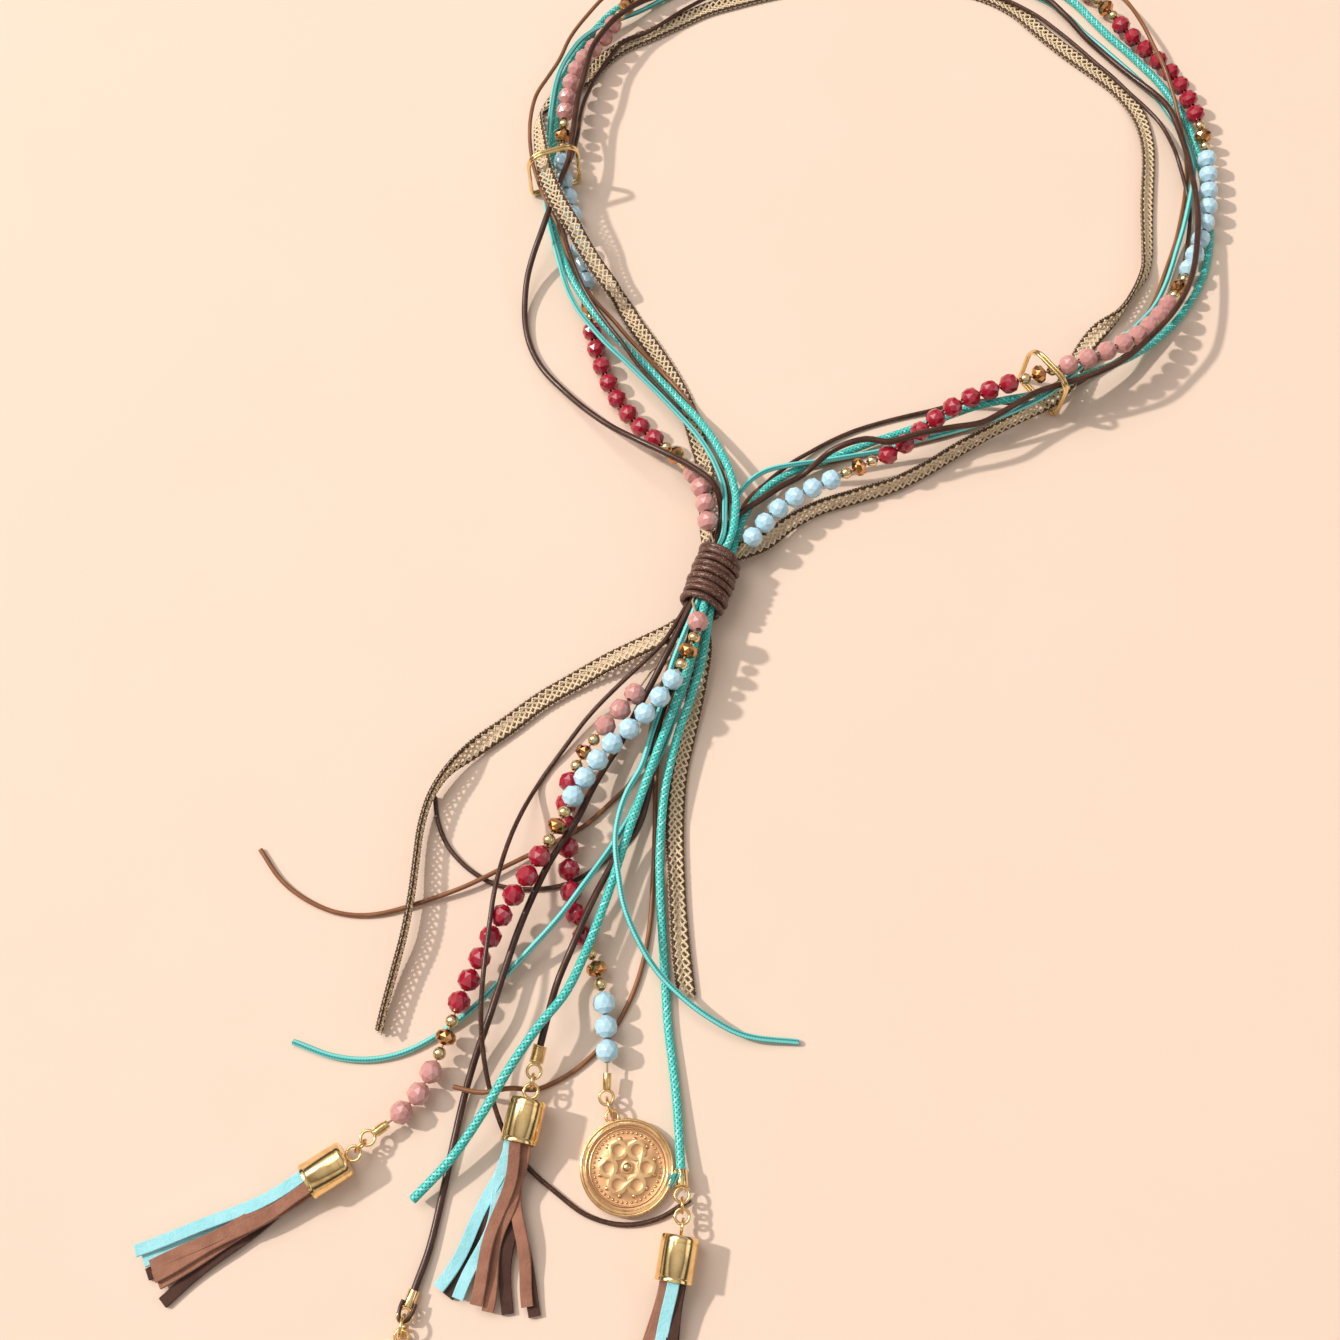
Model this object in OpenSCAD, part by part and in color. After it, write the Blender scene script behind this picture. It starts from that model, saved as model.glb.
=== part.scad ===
// A long necklace of beads, cords and one braid, knotted loosely and laid flat

/* [Beads] */
// Diameter of the round glass beads
bead_d = 6; // [5:0.1:6.1]
// Diameter of the hole through a glass bead
bead_bore = 1.8; // [1.4:0.1:2]
// Diameter of the gold ball on each side of a rondelle
ball_d = 3.5; // [2.8:0.1:3.8]
// Diameter of the rondelle between two colours
rondelle_d = 5.5; // [4.5:0.1:6]
// Length of the rondelle along the thread
rondelle_l = 4.4; // [3.6:0.1:4.6]
// Diameter of the hole through a ball or a rondelle
small_bore = 1.6; // [1.2:0.1:1.8]
// Diameter of the thread
thread_d = 0.6; // [0.4:0.05:0.7]

/* [Cords and braid] */
// Diameter of the tan leather cord
tan_d = 1.3; // [1:0.1:1.4]
// Diameter of the thin dark cord
dark_thin_d = 1.3; // [1:0.1:1.4]
// Diameter of the thick dark cord
dark_thick_d = 1.9; // [1.4:0.1:2]
// Diameter of the thin turquoise cord
turquoise_thin_d = 1.6; // [1.2:0.1:1.7]
// Diameter of the thick turquoise cord
turquoise_thick_d = 2.4; // [1.8:0.1:2.5]
// Width of the braid
braid_w = 6; // [5:0.1:6.2]
// Thickness of the braid
braid_t = 1.4; // [1:0.1:1.5]

/* [Knot and rings] */
// Outer diameter of the wound knot
knot_d = 13.8; // [13.8:0.1:15]
// Length of the wound knot
knot_l = 18.6; // [14:0.2:19]
// Thickness of the cord wound round the knot
wrap_d = 1.9; // [1.4:0.1:1.9]
// Wire of the two gathering rings
ring_wire = 1; // [0.8:0.1:1.2]
// Inner width of the left ring
left_ring_w = 15.6; // [15:0.2:20]
// Inner height of the left ring
left_ring_h = 16.6; // [16:0.2:20]
// Inner width of the right ring
right_ring_w = 15.6; // [15:0.2:20]
// Inner height of the right ring
right_ring_h = 16.6; // [16:0.2:20]

/* [Tassels] */
// Outer diameter of a tassel's cap
cap_d = 9.5; // [8.5:0.1:10]
// Length of a tassel's cap
cap_l = 11; // [9:0.2:12]
// Wall of a cap
cap_wall = 0.6; // [0.4:0.1:0.8]
// Width of a suede strip
strip_w = 3; // [2:0.1:3.4]
// Thickness of a suede strip
strip_t = 1.2; // [0.8:0.1:1.4]
// Wire of the links and eyes
link_wire = 0.8; // [0.6:0.05:0.9]
// Length of a crimp
crimp_l = 4; // [3:0.2:4.6]
// Wall of a crimp
crimp_wall = 0.4; // [0.3:0.05:0.6]

/* [Medallion and disc] */
// Diameter of the medallion
medallion_d = 24; // [20:0.5:24]
// Thickness of the medallion's plate
medallion_t = 1.4; // [1:0.1:2]
// Height of the relief above the plate
relief_h = 0.7; // [0.4:0.1:1]
// Diameter of the pierced disc
disc_d = 46; // [40:0.5:47]
// Thickness of the pierced disc
disc_t = 1.4; // [1:0.1:2]
// Width of the bars between the disc's openings
disc_bar = 1.2; // [0.8:0.1:1.6]

/* [Hidden] */
$fn = 32;

// Clearance between two strands that cross
gap = 0.2;
// Steepest rise of a strand for each millimetre of its way
slope = 0.36;
// Radius of the hump where a strand starts to rise
hump = 22;
// Clearance above the floor
lift = 0.05;
// Share of the hump that smoothing may leave below the mean of its neighbours
sag = 0.15;
cord_sides = 8;
thread_sides = 6;
wire_sides = 6;

// Middle of the knot, the turn of its axis and its height
knot_at = [-10, -5];
knot_turn = -19.5;
knot_z = knot_d / 2;
mouth = knot_l / 2 + 0.3;
right = [cos(knot_turn), sin(knot_turn)];
down = [sin(knot_turn), -cos(knot_turn)];

// Half width and half height of each strand
SIZES = [
  ["tan", tan_d / 2, tan_d / 2],
  ["dthin", dark_thin_d / 2, dark_thin_d / 2],
  ["dthick", dark_thick_d / 2, dark_thick_d / 2],
  ["tthin", turquoise_thin_d / 2, turquoise_thin_d / 2],
  ["tthick", turquoise_thick_d / 2, turquoise_thick_d / 2],
  ["beads", bead_d / 2, bead_d / 2],
  ["braid", braid_w / 2, braid_t / 2],
  ["ring", ring_wire / 2, ring_wire / 2],
  ["thread", thread_d / 2, thread_d / 2]];

// Place of each strand in the knot: across its axis, and above it
SLOTS = [
  ["T1", -1.9, -3.9], ["T2", 1.9, -3.9], ["D3", 0, -4], ["BR", 0, -2.45], ["BL", 0, -0.95],
  ["D1", -4.25, 0.45], ["D2", -2.9, 1.75], ["D4", -1.05, 1.15], ["C2", 0.75, 0.75],
  ["C4", 2.85, 1.15], ["B", 4.4, 1.4], ["C1", 0.95, 3.5], ["C3", -1.25, 3], ["A", -2.5, 3.9],
  ["B0", 3.2, -3.5]];

// Routes, lowest strand first: name, strand, where it starts, where it ends, points on the floor.
// A third value is a braid's turn from flat, or how far a cord is lifted off the floor.
RUNS = [
  ["B0", "thread", ["low", "B0"], [], [
    [-12.2, -21.7], [-19, -25.8], [-27, -31.1, 2.5]]],
  ["D3", "dthin", ["low", "D3"], [], [
    [-19.5, -28.1], [-24, -39.7], [-26.5, -50], [-27, -58.8], [-28, -66.9], [-30.5, -75.1], [-35, -82],
    [-42.1, -88.5], [-50.2, -93.1], [-59.2, -94.5], [-68.3, -93.6], [-76.3, -89.4], [-82.7, -82.9],
    [-86.1, -75.6], [-87.4, -68.3]]],
  ["T1", "tan", ["low", "T1"], [], [
    [-21.5, -28.3], [-25.4, -39.8], [-27.4, -49.5], [-28.4, -56.6], [-33, -64.4], [-39, -70.6],
    [-46, -77], [-55, -82.2], [-65.5, -87.9], [-77.1, -93.9], [-89.4, -98.3], [-101.6, -101.5],
    [-111.7, -101], [-120.7, -97.3], [-128.1, -91.7], [-134.4, -83.4]]],
  ["T2a", "tan", ["low", "T2"], [], [
    [-17.8, -28.4], [-22, -40.3], [-25, -52.6], [-26, -65.2], [-26.2, -77.9], [-26.6, -90.8],
    [-27.3, -102.8], [-29.1, -114], [-32.6, -124.4], [-38.3, -134.3], [-46.5, -142.3], [-55.7, -147.1]]],
  ["BR", "braid", ["low", "BR"], [], [
    [-13.1, -19.5, 0], [-12.7, -25.8, 0], [-14, -34.6, 10], [-15.6, -43, 20], [-17.4, -51.7, 30], [-19.3, -60.6, 30],
    [-20.4, -70.5, 20], [-20.7, -80.6, 20], [-20.3, -90.8, 30], [-19.8, -101, 30], [-19, -112, 20],
    [-17.7, -123.3, 20]]],
  ["BL", "braid", ["low", "BL"], [], [
    [-21, -20.3, 0], [-29.8, -24.4, 0], [-39.3, -28.6, 0], [-48.8, -33.9, 0], [-58.7, -40.1, 0],
    [-67.7, -47.5, 10], [-76.6, -54.7, 40], [-83.4, -61.6, 80], [-88, -69.3, 90], [-90.2, -78.2, 90],
    [-90.9, -87.4, 90], [-91.5, -97.7, 90], [-92.8, -107.9, 90], [-95, -117.8, 90], [-96.8, -126.2, 90],
    [-98, -132.7, 90]]],
  ["D2a", "dthick", ["low", "D2"], [], [
    [-22, -26.2], [-26.9, -35.7], [-31.4, -44.2], [-35.9, -53.5], [-39.9, -60.5, 1.5], [-43.5, -67.7, 4.5]]],
  ["D1a", "dthin", ["low", "D1"], [], [
    [-23, -23.3], [-28.8, -29.8], [-36.7, -36.8], [-44.7, -44.8], [-51.8, -54.4], [-58.4, -64.2]]],
  ["B", "beads", ["run", "B0"], [], [
    [-31.3, -39.9], [-36.2, -45.7], [-40.7, -50.6], [-45.7, -57.2], [-49.4, -64.3], [-50.5, -72.5],
    [-49.9, -81.6], [-49.4, -90.2], [-47.9, -99.5], [-45, -108.1], [-41.5, -116.5], [-39.2, -126],
    [-38.4, -135.4], [-38.1, -142.4], [-38.2, -146.9]]],
  ["C4", "tthick", ["low", "C4"], [], [
    [-12.3, -26.7], [-14.2, -34.6], [-16.6, -42.5], [-19.3, -50.2], [-21.5, -58.5], [-23.3, -67.3],
    [-24.3, -76.6], [-24.8, -86.4], [-24.6, -97.2], [-24, -108.1], [-23.3, -119.3], [-22.6, -130.5],
    [-21.3, -141], [-20.2, -151.5], [-19.5, -162, 1.6], [-19.1, -170.6, 2.8]]],
  ["C2", "tthin", ["low", "C2"], [], [
    [-15.5, -29.9], [-19.6, -43.1], [-24, -55.6], [-28.9, -65.8], [-33.4, -75.7], [-38.8, -85.4],
    [-44.7, -94.6], [-51.2, -103.7], [-58.9, -111.8], [-66.3, -119.2], [-74.1, -126.9], [-82.5, -133.3],
    [-91.2, -137.9], [-100.4, -139.8], [-110, -138.9], [-120.6, -135.2]]],
  ["D4a", "dthick", ["low", "D4"], [], [
    [-18.1, -29.8], [-23.5, -42.9], [-26.4, -55.5], [-27.7, -67.2], [-30.4, -77.9], [-35.4, -85.2],
    [-39.9, -93.6], [-43.8, -102.1], [-47.9, -112.2], [-51.6, -121]]],
  ["C1a", "tthick", ["low", "C1"], [], [
    [-16.5, -31.4], [-20.8, -44.5], [-25.4, -57.2], [-29.8, -70.1], [-33.8, -82.2], [-37.3, -93.9],
    [-40.8, -104.3], [-44.3, -113.5]]],
  ["C3", "tthin", ["low", "C3"], [], [
    [-21, -30.5], [-23.9, -41.7], [-27.1, -52.2], [-29.8, -61.5], [-33.8, -69.3], [-36, -76.8],
    [-36.7, -84.3], [-35.7, -93.3], [-34.1, -101.4], [-30.9, -109.1], [-26, -117], [-19.5, -123.7],
    [-11.4, -129.7], [-1.8, -134], [11.6, -135.3]]],
  ["D2b", "dthick", ["run", "D2a"], [], [
    [-46.8, -76.5], [-50.8, -83.2], [-54.5, -89.5], [-58.7, -98.2], [-62.4, -107.5], [-65.6, -117.8],
    [-68.7, -128.7], [-72.1, -138.7], [-75, -149.4], [-77.3, -161.3], [-79.6, -174.3], [-81.8, -185.4],
    [-84.2, -193, 0.5], [-86, -198.5, 0.9]]],
  ["A", "beads", ["low", "A"], [], [
    [-15.2, -18], [-14.1, -22.3], [-16.7, -29.2], [-20.1, -36.4], [-25.4, -44.1], [-31.7, -50.7], [-38.6, -57],
    [-44, -64.2], [-48.4, -71.9], [-51.9, -79.2], [-55.9, -86.8], [-60.4, -94.5], [-65.1, -101.3],
    [-68.9, -108.6], [-73.2, -117.1], [-77, -125.8], [-79.7, -133.7], [-82.7, -141.6], [-86.7, -149.1],
    [-92.7, -155.3, 0.5], [-96.4, -158, 1]]],
  ["D1b", "dthin", ["run", "D1a"], [], [
    [-62.6, -74.6], [-65.7, -84.8], [-68, -96.3], [-69.3, -108.1], [-70.2, -119.9], [-70.6, -129.6],
    [-70, -138.5], [-67.9, -148.5], [-63.7, -159.2], [-57.8, -166.7], [-50.8, -172.5], [-42.8, -178],
    [-33.8, -180.2], [-25.1, -178.8], [-16.9, -174.2]]],
  ["T2b", "tan", ["run", "T2a"], [], [
    [-62.7, -147.6], [-70.3, -148.7], [-77.5, -147.1]]],
  ["D4b", "dthick", ["run", "D4a"], [], [
    [-53.7, -130.3, 4], [-55.3, -136.9, 5.2], [-56.2, -140.8, 5.8]]],
  ["C1b", "tthick", ["run", "C1a"], [], [
    [-48.9, -124.1], [-55.8, -132.8], [-62.6, -142.7], [-69.4, -154.1], [-77.2, -165], [-86.4, -174.4]]],
  ["ringLlow", "ring", [], [], [
    [-65.7, 139.5], [-53.6, 143.9]]],
  ["ringRlow", "ring", [], [], [
    [87.9, 66.9], [96.1, 55.6]]],
  ["tanR", "tan", ["top", "T2"], [], [
    [-3.3, 8.1], [-2.6, 14.7], [0.6, 23.7], [6.3, 30], [14.1, 34.3], [22.8, 36.9], [32.5, 39.3], [43.1, 41.9],
    [53.8, 44.7], [64.4, 47.9], [73.9, 51.7], [83.2, 56.6], [91.9, 61.7], [101.7, 67.4], [111.8, 74.7],
    [120.3, 80.9], [127.3, 88.1], [132.2, 96], [135.7, 104], [138.6, 110.9], [141.7, 118.5],
    [144.4, 126.7], [147.4, 137.8], [149.5, 149.2]]],
  ["tanK", "tan", ["top", "T1"], [], [
    [-4.9, 14.3], [-3.9, 25]]],
  ["braidL", "braid", ["top", "BL"], [], [
    [-10.4, 9.5, 40], [-11.6, 18.7, 60], [-10.6, 27.8, 40], [-11.3, 36, 20], [-13.3, 44.4, 10],
    [-15.7, 53.7, 0], [-19.1, 62.7, 0], [-23.3, 71.2, 0], [-27.8, 79.2, 0], [-32.5, 86.8, 0],
    [-36.8, 94.7, 0]]],
  ["tanM", "tan", ["run", "tanK"], [], [
    [-5.2, 33.8], [-7.5, 41.4], [-10.9, 48.8], [-15.3, 56.5], [-20.1, 63.4], [-25.1, 69.7]]],
  ["dthinR", "dthin", ["top", "D3"], [], [
    [-5.1, 8.7], [1.4, 19.5], [5.7, 28.3], [13.9, 36.1], [20.7, 41.1], [28, 45.7], [35.2, 49.2], [43, 51.9],
    [50.7, 54.1], [58.8, 56], [66.8, 57.8], [75.1, 58.1], [83.3, 57.1], [91.6, 58.1], [101.9, 63.5],
    [111.5, 70], [121.5, 76.8], [129.9, 85.4], [136, 94.2], [140.5, 102.7], [143.9, 111.4],
    [146.1, 120.2], [147.5, 128.6], [147.8, 137.5]]],
  ["braidR", "braid", ["top", "BR"], [], [
    [5.2, 9, 30], [13.5, 15.8, 50], [22.2, 21, 60], [33.3, 24.9, 60], [44.9, 28.8, 60],
    [55.4, 34.4, 60], [65.4, 40.8, 60], [76.3, 47, 70], [86.7, 52.3, 60], [95.3, 57.8, 15],
    [102, 66, 0], [106.5, 74.9, 0], [112, 82.6, 20], [119.4, 89.7, 80], [124.8, 97.7, 90],
    [129.7, 106, 60], [131.7, 114.2, 40], [132.7, 122.9, 35], [133.8, 132.1, 30], [135.1, 141, 30],
    [136.4, 149.9, 30], [137.2, 159.1, 20], [136.4, 168.4, 10], [133.8, 176.7, 0], [129.1, 184, 0],
    [122.8, 190.7, 0], [116.5, 197, 0], [110.6, 203.3, 0], [104.8, 210.2, 0], [98.2, 217.9, 0],
    [87.8, 224.9, 0], [73, 229.8, 0], [56.3, 232.1, 0], [39.8, 231.5, 0], [25, 228.9, 0],
    [12.1, 225.5, 0], [1.1, 222, 0], [-10, 217.9, 0], [-20.1, 211.9, 0], [-29.4, 206.5, 0],
    [-37.8, 201.8, 0], [-44.3, 195.9, 0], [-49.9, 188.3, 0], [-56.1, 182.4, 0], [-61.7, 176.5, 30],
    [-65.2, 169.1, 60]]],
  ["tthickR", "tthick", ["top", "C4"], [], [
    [-2.2, 10.4], [0.8, 18.7], [6.1, 26], [13.4, 32], [22.6, 36.2], [32.3, 40.6], [40.1, 44],
    [48.5, 47], [56.5, 49.4], [63.9, 51.4], [71.1, 52.8], [78.8, 53.9], [86.6, 55.5], [93.6, 58.3],
    [101.1, 61.9], [108.6, 65.7], [116.1, 69.9], [123.7, 75.1], [130.9, 81.1], [137, 87.2], [142, 93.5],
    [146.3, 100.2], [149.5, 106.9], [151.8, 114.3], [153.5, 122.6], [154.1, 130.8], [154.5, 139],
    [154.2, 148], [153.5, 156.9], [152.3, 165], [150.3, 172.6], [147, 179.8], [143.6, 186.6],
    [139.3, 192.9], [134.8, 199.2], [129.8, 205.5], [124.8, 212.8], [119.1, 221], [111.5, 228],
    [98, 234.3], [82.2, 239.5], [63.7, 243], [43.4, 244], [22.2, 243], [3.8, 239.8], [-11.8, 235.2],
    [-23.8, 229.1], [-33.1, 223.7], [-41.5, 217.1], [-47.3, 209.5], [-51.3, 202.6], [-54.5, 195.4],
    [-56.9, 187.3], [-58.9, 179.9], [-59.6, 171.9], [-60.2, 163.5], [-60.7, 155.8], [-61.1, 148.5],
    [-61.4, 140.5], [-61.1, 132.7],
    [-60, 125.5], [-58.1, 118.5]]],
  ["dthickK", "dthick", ["top", "D4"], [], [
    [-6.4, 8.3], [-5, 12.5], [-1, 17], [4.4, 20.9], [10.8, 26], [18.1, 31.4]]],
  ["tthinR", "tthin", ["top", "C2"], [], [
    [-4.7, 7.6], [-4, 12], [-3.1, 18.9], [1.1, 26.7], [7.2, 31.8], [15.6, 34.2], [24.1, 35.6], [32.7, 37.4],
    [41.3, 39.1], [50, 41.2], [59.6, 43.2], [69.6, 45.8], [79.3, 49.1], [90.9, 54.5], [99, 61.2],
    [107.9, 69.4], [117.5, 77.1], [125, 85], [131, 92.4], [135.5, 100.4], [138.7, 107.8],
    [141.5, 115.4], [143.9, 122], [146.3, 129.7], [148.4, 137], [150.5, 146], [150.9, 153.8],
    [150.1, 160.8], [148, 167.7], [144.9, 175.4], [141, 182.4], [136.5, 188.7], [131.5, 195.1],
    [126.6, 201.4], [121.7, 207.3], [116.4, 215.1], [109.2, 222.3], [97.1, 229.1], [82.2, 234.6],
    [63.7, 238.4], [43.4, 239.5], [22.2, 238.4], [3.8, 235.2], [-11.9, 229.8], [-22.9, 223.3],
    [-32.1, 216.5], [-41.3, 210.2], [-48.3, 205.1], [-52.9, 199.6], [-56.2, 192.7], [-58.6, 185.6],
    [-60.3, 178.7], [-61.2, 171.3], [-61.8, 164.1], [-62.2, 156.2], [-62.7, 148.6], [-63, 140.7],
    [-62.5, 133.2],
    [-61.3, 125.5], [-59.7, 118.5]]],
  ["dthinK", "dthin", ["top", "D1"], [], [
    [-9.7, 8.8], [-6.6, 13], [-4.9, 21], [-6.1, 29.5], [-9.5, 37.5], [-14.1, 45.9]]],
  ["dthickS", "dthick", ["top", "D2"], [], [
    [-8, 8.5], [-7, 16.2]]],
  ["beadsLoop", "beads", ["top", "A"], ["top", "B"], [
    [-10.9, 9], [-11.5, 14.8], [-12.4, 21.5], [-15.6, 29.7], [-21, 36.9], [-27.1, 43.4],
    [-32.8, 50.2], [-37.6, 57.5], [-41.2, 65.3], [-44.1, 73.8], [-46.4, 83], [-47.5, 92.2],
    [-48.5, 101.4], [-50, 110.5], [-51.8, 119.5], [-53.4, 127.4], [-55.2, 134.9], [-56.6, 141.6],
    [-57.4, 148.7], [-57.2, 156.7], [-56.8, 165.8], [-55.8, 174.8], [-53.6, 183.7], [-50, 191.9],
    [-45.3, 198.7], [-41.2, 206], [-35.7, 215.4], [-27, 226.2], [-15.6, 235], [-0.9, 241],
    [15.6, 244.7], [33, 246.1], [50.4, 246.4], [67, 246.8], [82.7, 244.3], [98.4, 239.9],
    [111.9, 233.5], [122.8, 224.5], [129.5, 215.4], [133.7, 206.7], [138, 200], [142.8, 193.7],
    [147.2, 186.8], [150.3, 179.1], [152.6, 171.1], [154.2, 162], [154.6, 152.7], [154.2, 143.6],
    [153.2, 135.1], [151.6, 126.1], [148.6, 117.6], [145.3, 110.3], [141.1, 101.7], [135.9, 93.2],
    [129.3, 83.9], [121.1, 75.1], [111.6, 68.7], [102.3, 64.7], [92.9, 61.2], [84.2, 58.6], [75.8, 56],
    [67, 52.3], [58.5, 47.2], [51.4, 41.2], [44.4, 35.7], [36.4, 32.3], [28.1, 28.2], [19.4, 23.9],
    [11.6, 19], [5.4, 12.2], [0.9, 6.4]]],
  ["tanL", "tan", ["run", "tanR"], ["run", "tanM"], [
    [148.5, 154.7], [148.1, 161.9], [147.4, 169.6], [146.1, 177.4], [144.2, 185.3], [141.9, 194],
    [139.2, 204], [135.5, 216], [129.7, 227.6], [120.9, 236.1], [108.7, 243], [94.6, 246.5],
    [78.7, 248.2], [60.9, 246.6], [42.6, 246.5], [24.4, 245.1], [8, 242], [-7.5, 237], [-21.1, 230.3],
    [-32.9, 222.6], [-43.1, 216.5], [-51.1, 208.4], [-56.2, 201], [-59.5, 192.9], [-63, 184.3],
    [-66.6, 175.1], [-68.2, 166.3], [-68.4, 157.5], [-67, 147.2], [-64.4, 137.9], [-61.6, 130.2],
    [-58.7, 123.6], [-56.7, 117.2], [-54.5, 110], [-51.9, 102.7], [-48.5, 96.4], [-44.1, 90.4],
    [-39.6, 85.6], [-35.2, 80.3], [-30.3, 74.9]]],
  ["tthickL", "tthick", ["top", "C1"], ["run", "tthickR"], [
    [-3.7, 9.3], [-2.7, 19], [-4.3, 28.1], [-7.1, 36.2], [-10.5, 44.3], [-14.7, 51.5], [-19.5, 58.2],
    [-24.7, 64.5], [-29.8, 70.4], [-35.1, 75.4], [-40, 80.4], [-44.6, 86], [-48.8, 92.3], [-52.4, 98.9],
    [-55.2, 105.7]]],
  ["dthinL", "dthin", ["run", "dthinK"], ["run", "dthinR"], [
    [-20.1, 54.3], [-26.8, 62.4], [-32.2, 68.7], [-36.6, 75.1],
    [-41.3, 81.8], [-45.9, 89.2], [-49.8, 97.1], [-52.9, 106], [-55.5, 115.5], [-57.6, 124.6],
    [-58.6, 132.1], [-57.2, 139.4], [-54.2, 146.9], [-52.5, 155.5], [-52, 164.8], [-51.2, 172.7],
    [-49.4, 180], [-46.5, 187.8], [-42.6, 195.5], [-37.8, 202.4], [-29.2, 206.9], [-16.5, 217.1],
    [-2.8, 225.6], [13.8, 230.7], [31.3, 233.1], [49.6, 233.1], [68, 231.2], [82.8, 227.3],
    [94.9, 221.3], [104.8, 214.3], [111.7, 207.2], [117.5, 200.4], [123.1, 193.3], [128.5, 186.6],
    [133.4, 179.7], [138.4, 173], [142.2, 166.2], [144.2, 158.1], [145.2, 149.3]]],
  ["dthick", "dthick", ["run", "dthickS"], ["run", "dthickK"], [
    [-9, 21.9], [-15.4, 27.8], [-23.4, 33.2], [-32, 39.2], [-40, 46], [-47.8, 53.8], [-55.1, 62.4],
    [-61.4, 70.2], [-65.5, 78.3], [-67.6, 86.2], [-68.1, 94.1], [-67.5, 102.5], [-65.7, 109.8],
    [-63.1, 116.8], [-61, 123.6], [-59, 130.7], [-56.8, 137.8], [-54.9, 144.5], [-54, 152.6],
    [-53.3, 161.8], [-52.5, 170], [-50.8, 178.2], [-48.4, 190.4], [-44.5, 198.4], [-39.7, 205.3],
    [-31.5, 212.1], [-19.3, 220.2], [-4.6, 229], [12.9, 235.7], [31.4, 238.9], [50, 239.8], [68.5, 238],
    [84.3, 233.9], [97.6, 228.7], [108.2, 222.3], [115, 213.7], [120.8, 205.4], [126.3, 198.7],
    [131.2, 192.2], [136.2, 185.5], [141, 178.3], [144.6, 170.3], [146.7, 161.4], [147.9, 151.8],
    [148.3, 141.9], [147.9, 131.2], [147, 121.5], [145.1, 111.8], [142.5, 102], [138.5, 92.2],
    [132.3, 82.3], [124.5, 73.4], [115.1, 64.9], [104.7, 60], [96.3, 57.5], [88.1, 54.7], [79.3, 49.1],
    [71.1, 44.1], [61.7, 41.7], [52.4, 39.7], [43, 36.7], [35.4, 37.9],
    [26.3, 35.3]]],
  ["tthinL", "tthin", ["top", "C3"], ["run", "tthinR"], [
    [-6.5, 7.5], [-6, 15.1], [-6.2, 22.6], [-8.2, 30.8], [-11.3, 38.7], [-15.4, 45.8], [-20.4, 52.3],
    [-25.4, 58.3], [-30.6, 64.2], [-35.7, 70], [-40.9, 75.5], [-45.7, 81.5], [-50.1, 87.6],
    [-53.4, 93.9], [-55.6, 100.2], [-57.4, 107.2]]],
  ["braidTop", "braid", ["run", "braidL"], ["run", "braidR"], [
    [-40.8, 98.1, 0], [-45.8, 105.2, 0], [-49.8, 111.8, 0], [-53.3, 118.1, 0], [-56.7, 123.8, 10],
    [-59.8, 130.8, 20], [-62.3, 138.6, 30], [-64.2, 150.5, 40],
    [-65.2, 160.5, 60]]],
];

// The row of a table whose first column is the key
function row(table, key) = [for (r = table) if (r[0] == key) r][0];

// Cross product of two plan vectors
function turn_of(u, v) = u.x * v.y - u.y * v.x;

// Share along v, from c, of the place nearest to p
function share_at(p, c, v) = min(1, max(0, ((p.x - c.x) * v.x + (p.y - c.y) * v.y) / (v.x * v.x + v.y * v.y)));

// Plan distance from p to the place at share t along v
function away(p, c, v, t) = norm([p.x - c.x - t * v.x, p.y - c.y - t * v.y]);

// The option with the least first value
function least(options) = let(m = min([for (o = options) o[0]])) [for (o = options) if (o[0] == m) o][0];

// Plan distance of two segments, and the share along each where they are nearest
function nearest(a, b, c, d) =
  let(
    u = [b.x - a.x, b.y - a.y],
    v = [d.x - c.x, d.y - c.y],
    w = [a.x - c.x, a.y - c.y],
    den = turn_of(u, v),
    s = den == 0 ? -1 : turn_of(v, w) / den,
    t = den == 0 ? -1 : turn_of(u, w) / den)
  s >= 0 && s <= 1 && t >= 0 && t <= 1 ? [0, s, t]
  : let(
      ta = share_at(a, c, v),
      tb = share_at(b, c, v),
      sc = share_at(c, a, u),
      sd = share_at(d, a, u))
    least([[away(a, c, v, ta), 0, ta], [away(b, c, v, tb), 1, tb],
      [away(c, a, u, sc), sc, 0], [away(d, a, u, sd), sd, 1]]);

// Half width and half height of a strand turned from flat
function half_of(strand, turn) =
  let(r = row(SIZES, strand), c = abs(cos(turn)), s = abs(sin(turn)))
  strand == "braid" ? [c * r[1] + s * r[2], s * r[1] + c * r[2]] : [r[1], r[2]];

// A row of a laid run: x, y, z, half width, half height, whether it is fixed, turn
function slot_row(end, key, strand) =
  let(
    s = row(SLOTS, key),
    side = end == "low" ? 1 : -1,
    h = half_of(strand == "beads" ? "thread" : strand, 0))
  [knot_at.x + side * mouth * down.x + s[1] * right.x,
    knot_at.y + side * mouth * down.y + s[1] * right.y,
    knot_z + s[2], h[0], h[1], true, 0];

function last(v) = v[len(v) - 1];

function end_row(e, strand, before) =
  len(e) == 0 ? []
  : e[0] == "run" ? let(q = last(row(before, e[1])[1])) [[q[0], q[1], q[2], q[3], q[4], true, q[6]]]
  : [slot_row(e[0], e[1], strand)];

function point_row(p, strand) =
  let(
    extra = len(p) > 2 ? p[2] : 0,
    turn = strand == "braid" ? extra : 0,
    raised = strand == "braid" ? 0 : extra,
    h = half_of(strand, turn))
  [p[0], p[1], h[1] + lift + raised, h[0], h[1], false, turn];

// Box in plan round some rows
function box_of(rows) =
  let(x = [for (r = rows) r[0]], y = [for (r = rows) r[1]], w = max([for (r = rows) r[3]]))
  [min(x) - w, max(x) + w, min(y) - w, max(y) + w];

function apart(p, q, reach) =
  p[1] + reach < q[0] || p[0] - reach > q[1] || p[3] + reach < q[2] || p[2] - reach > q[3];

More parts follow.
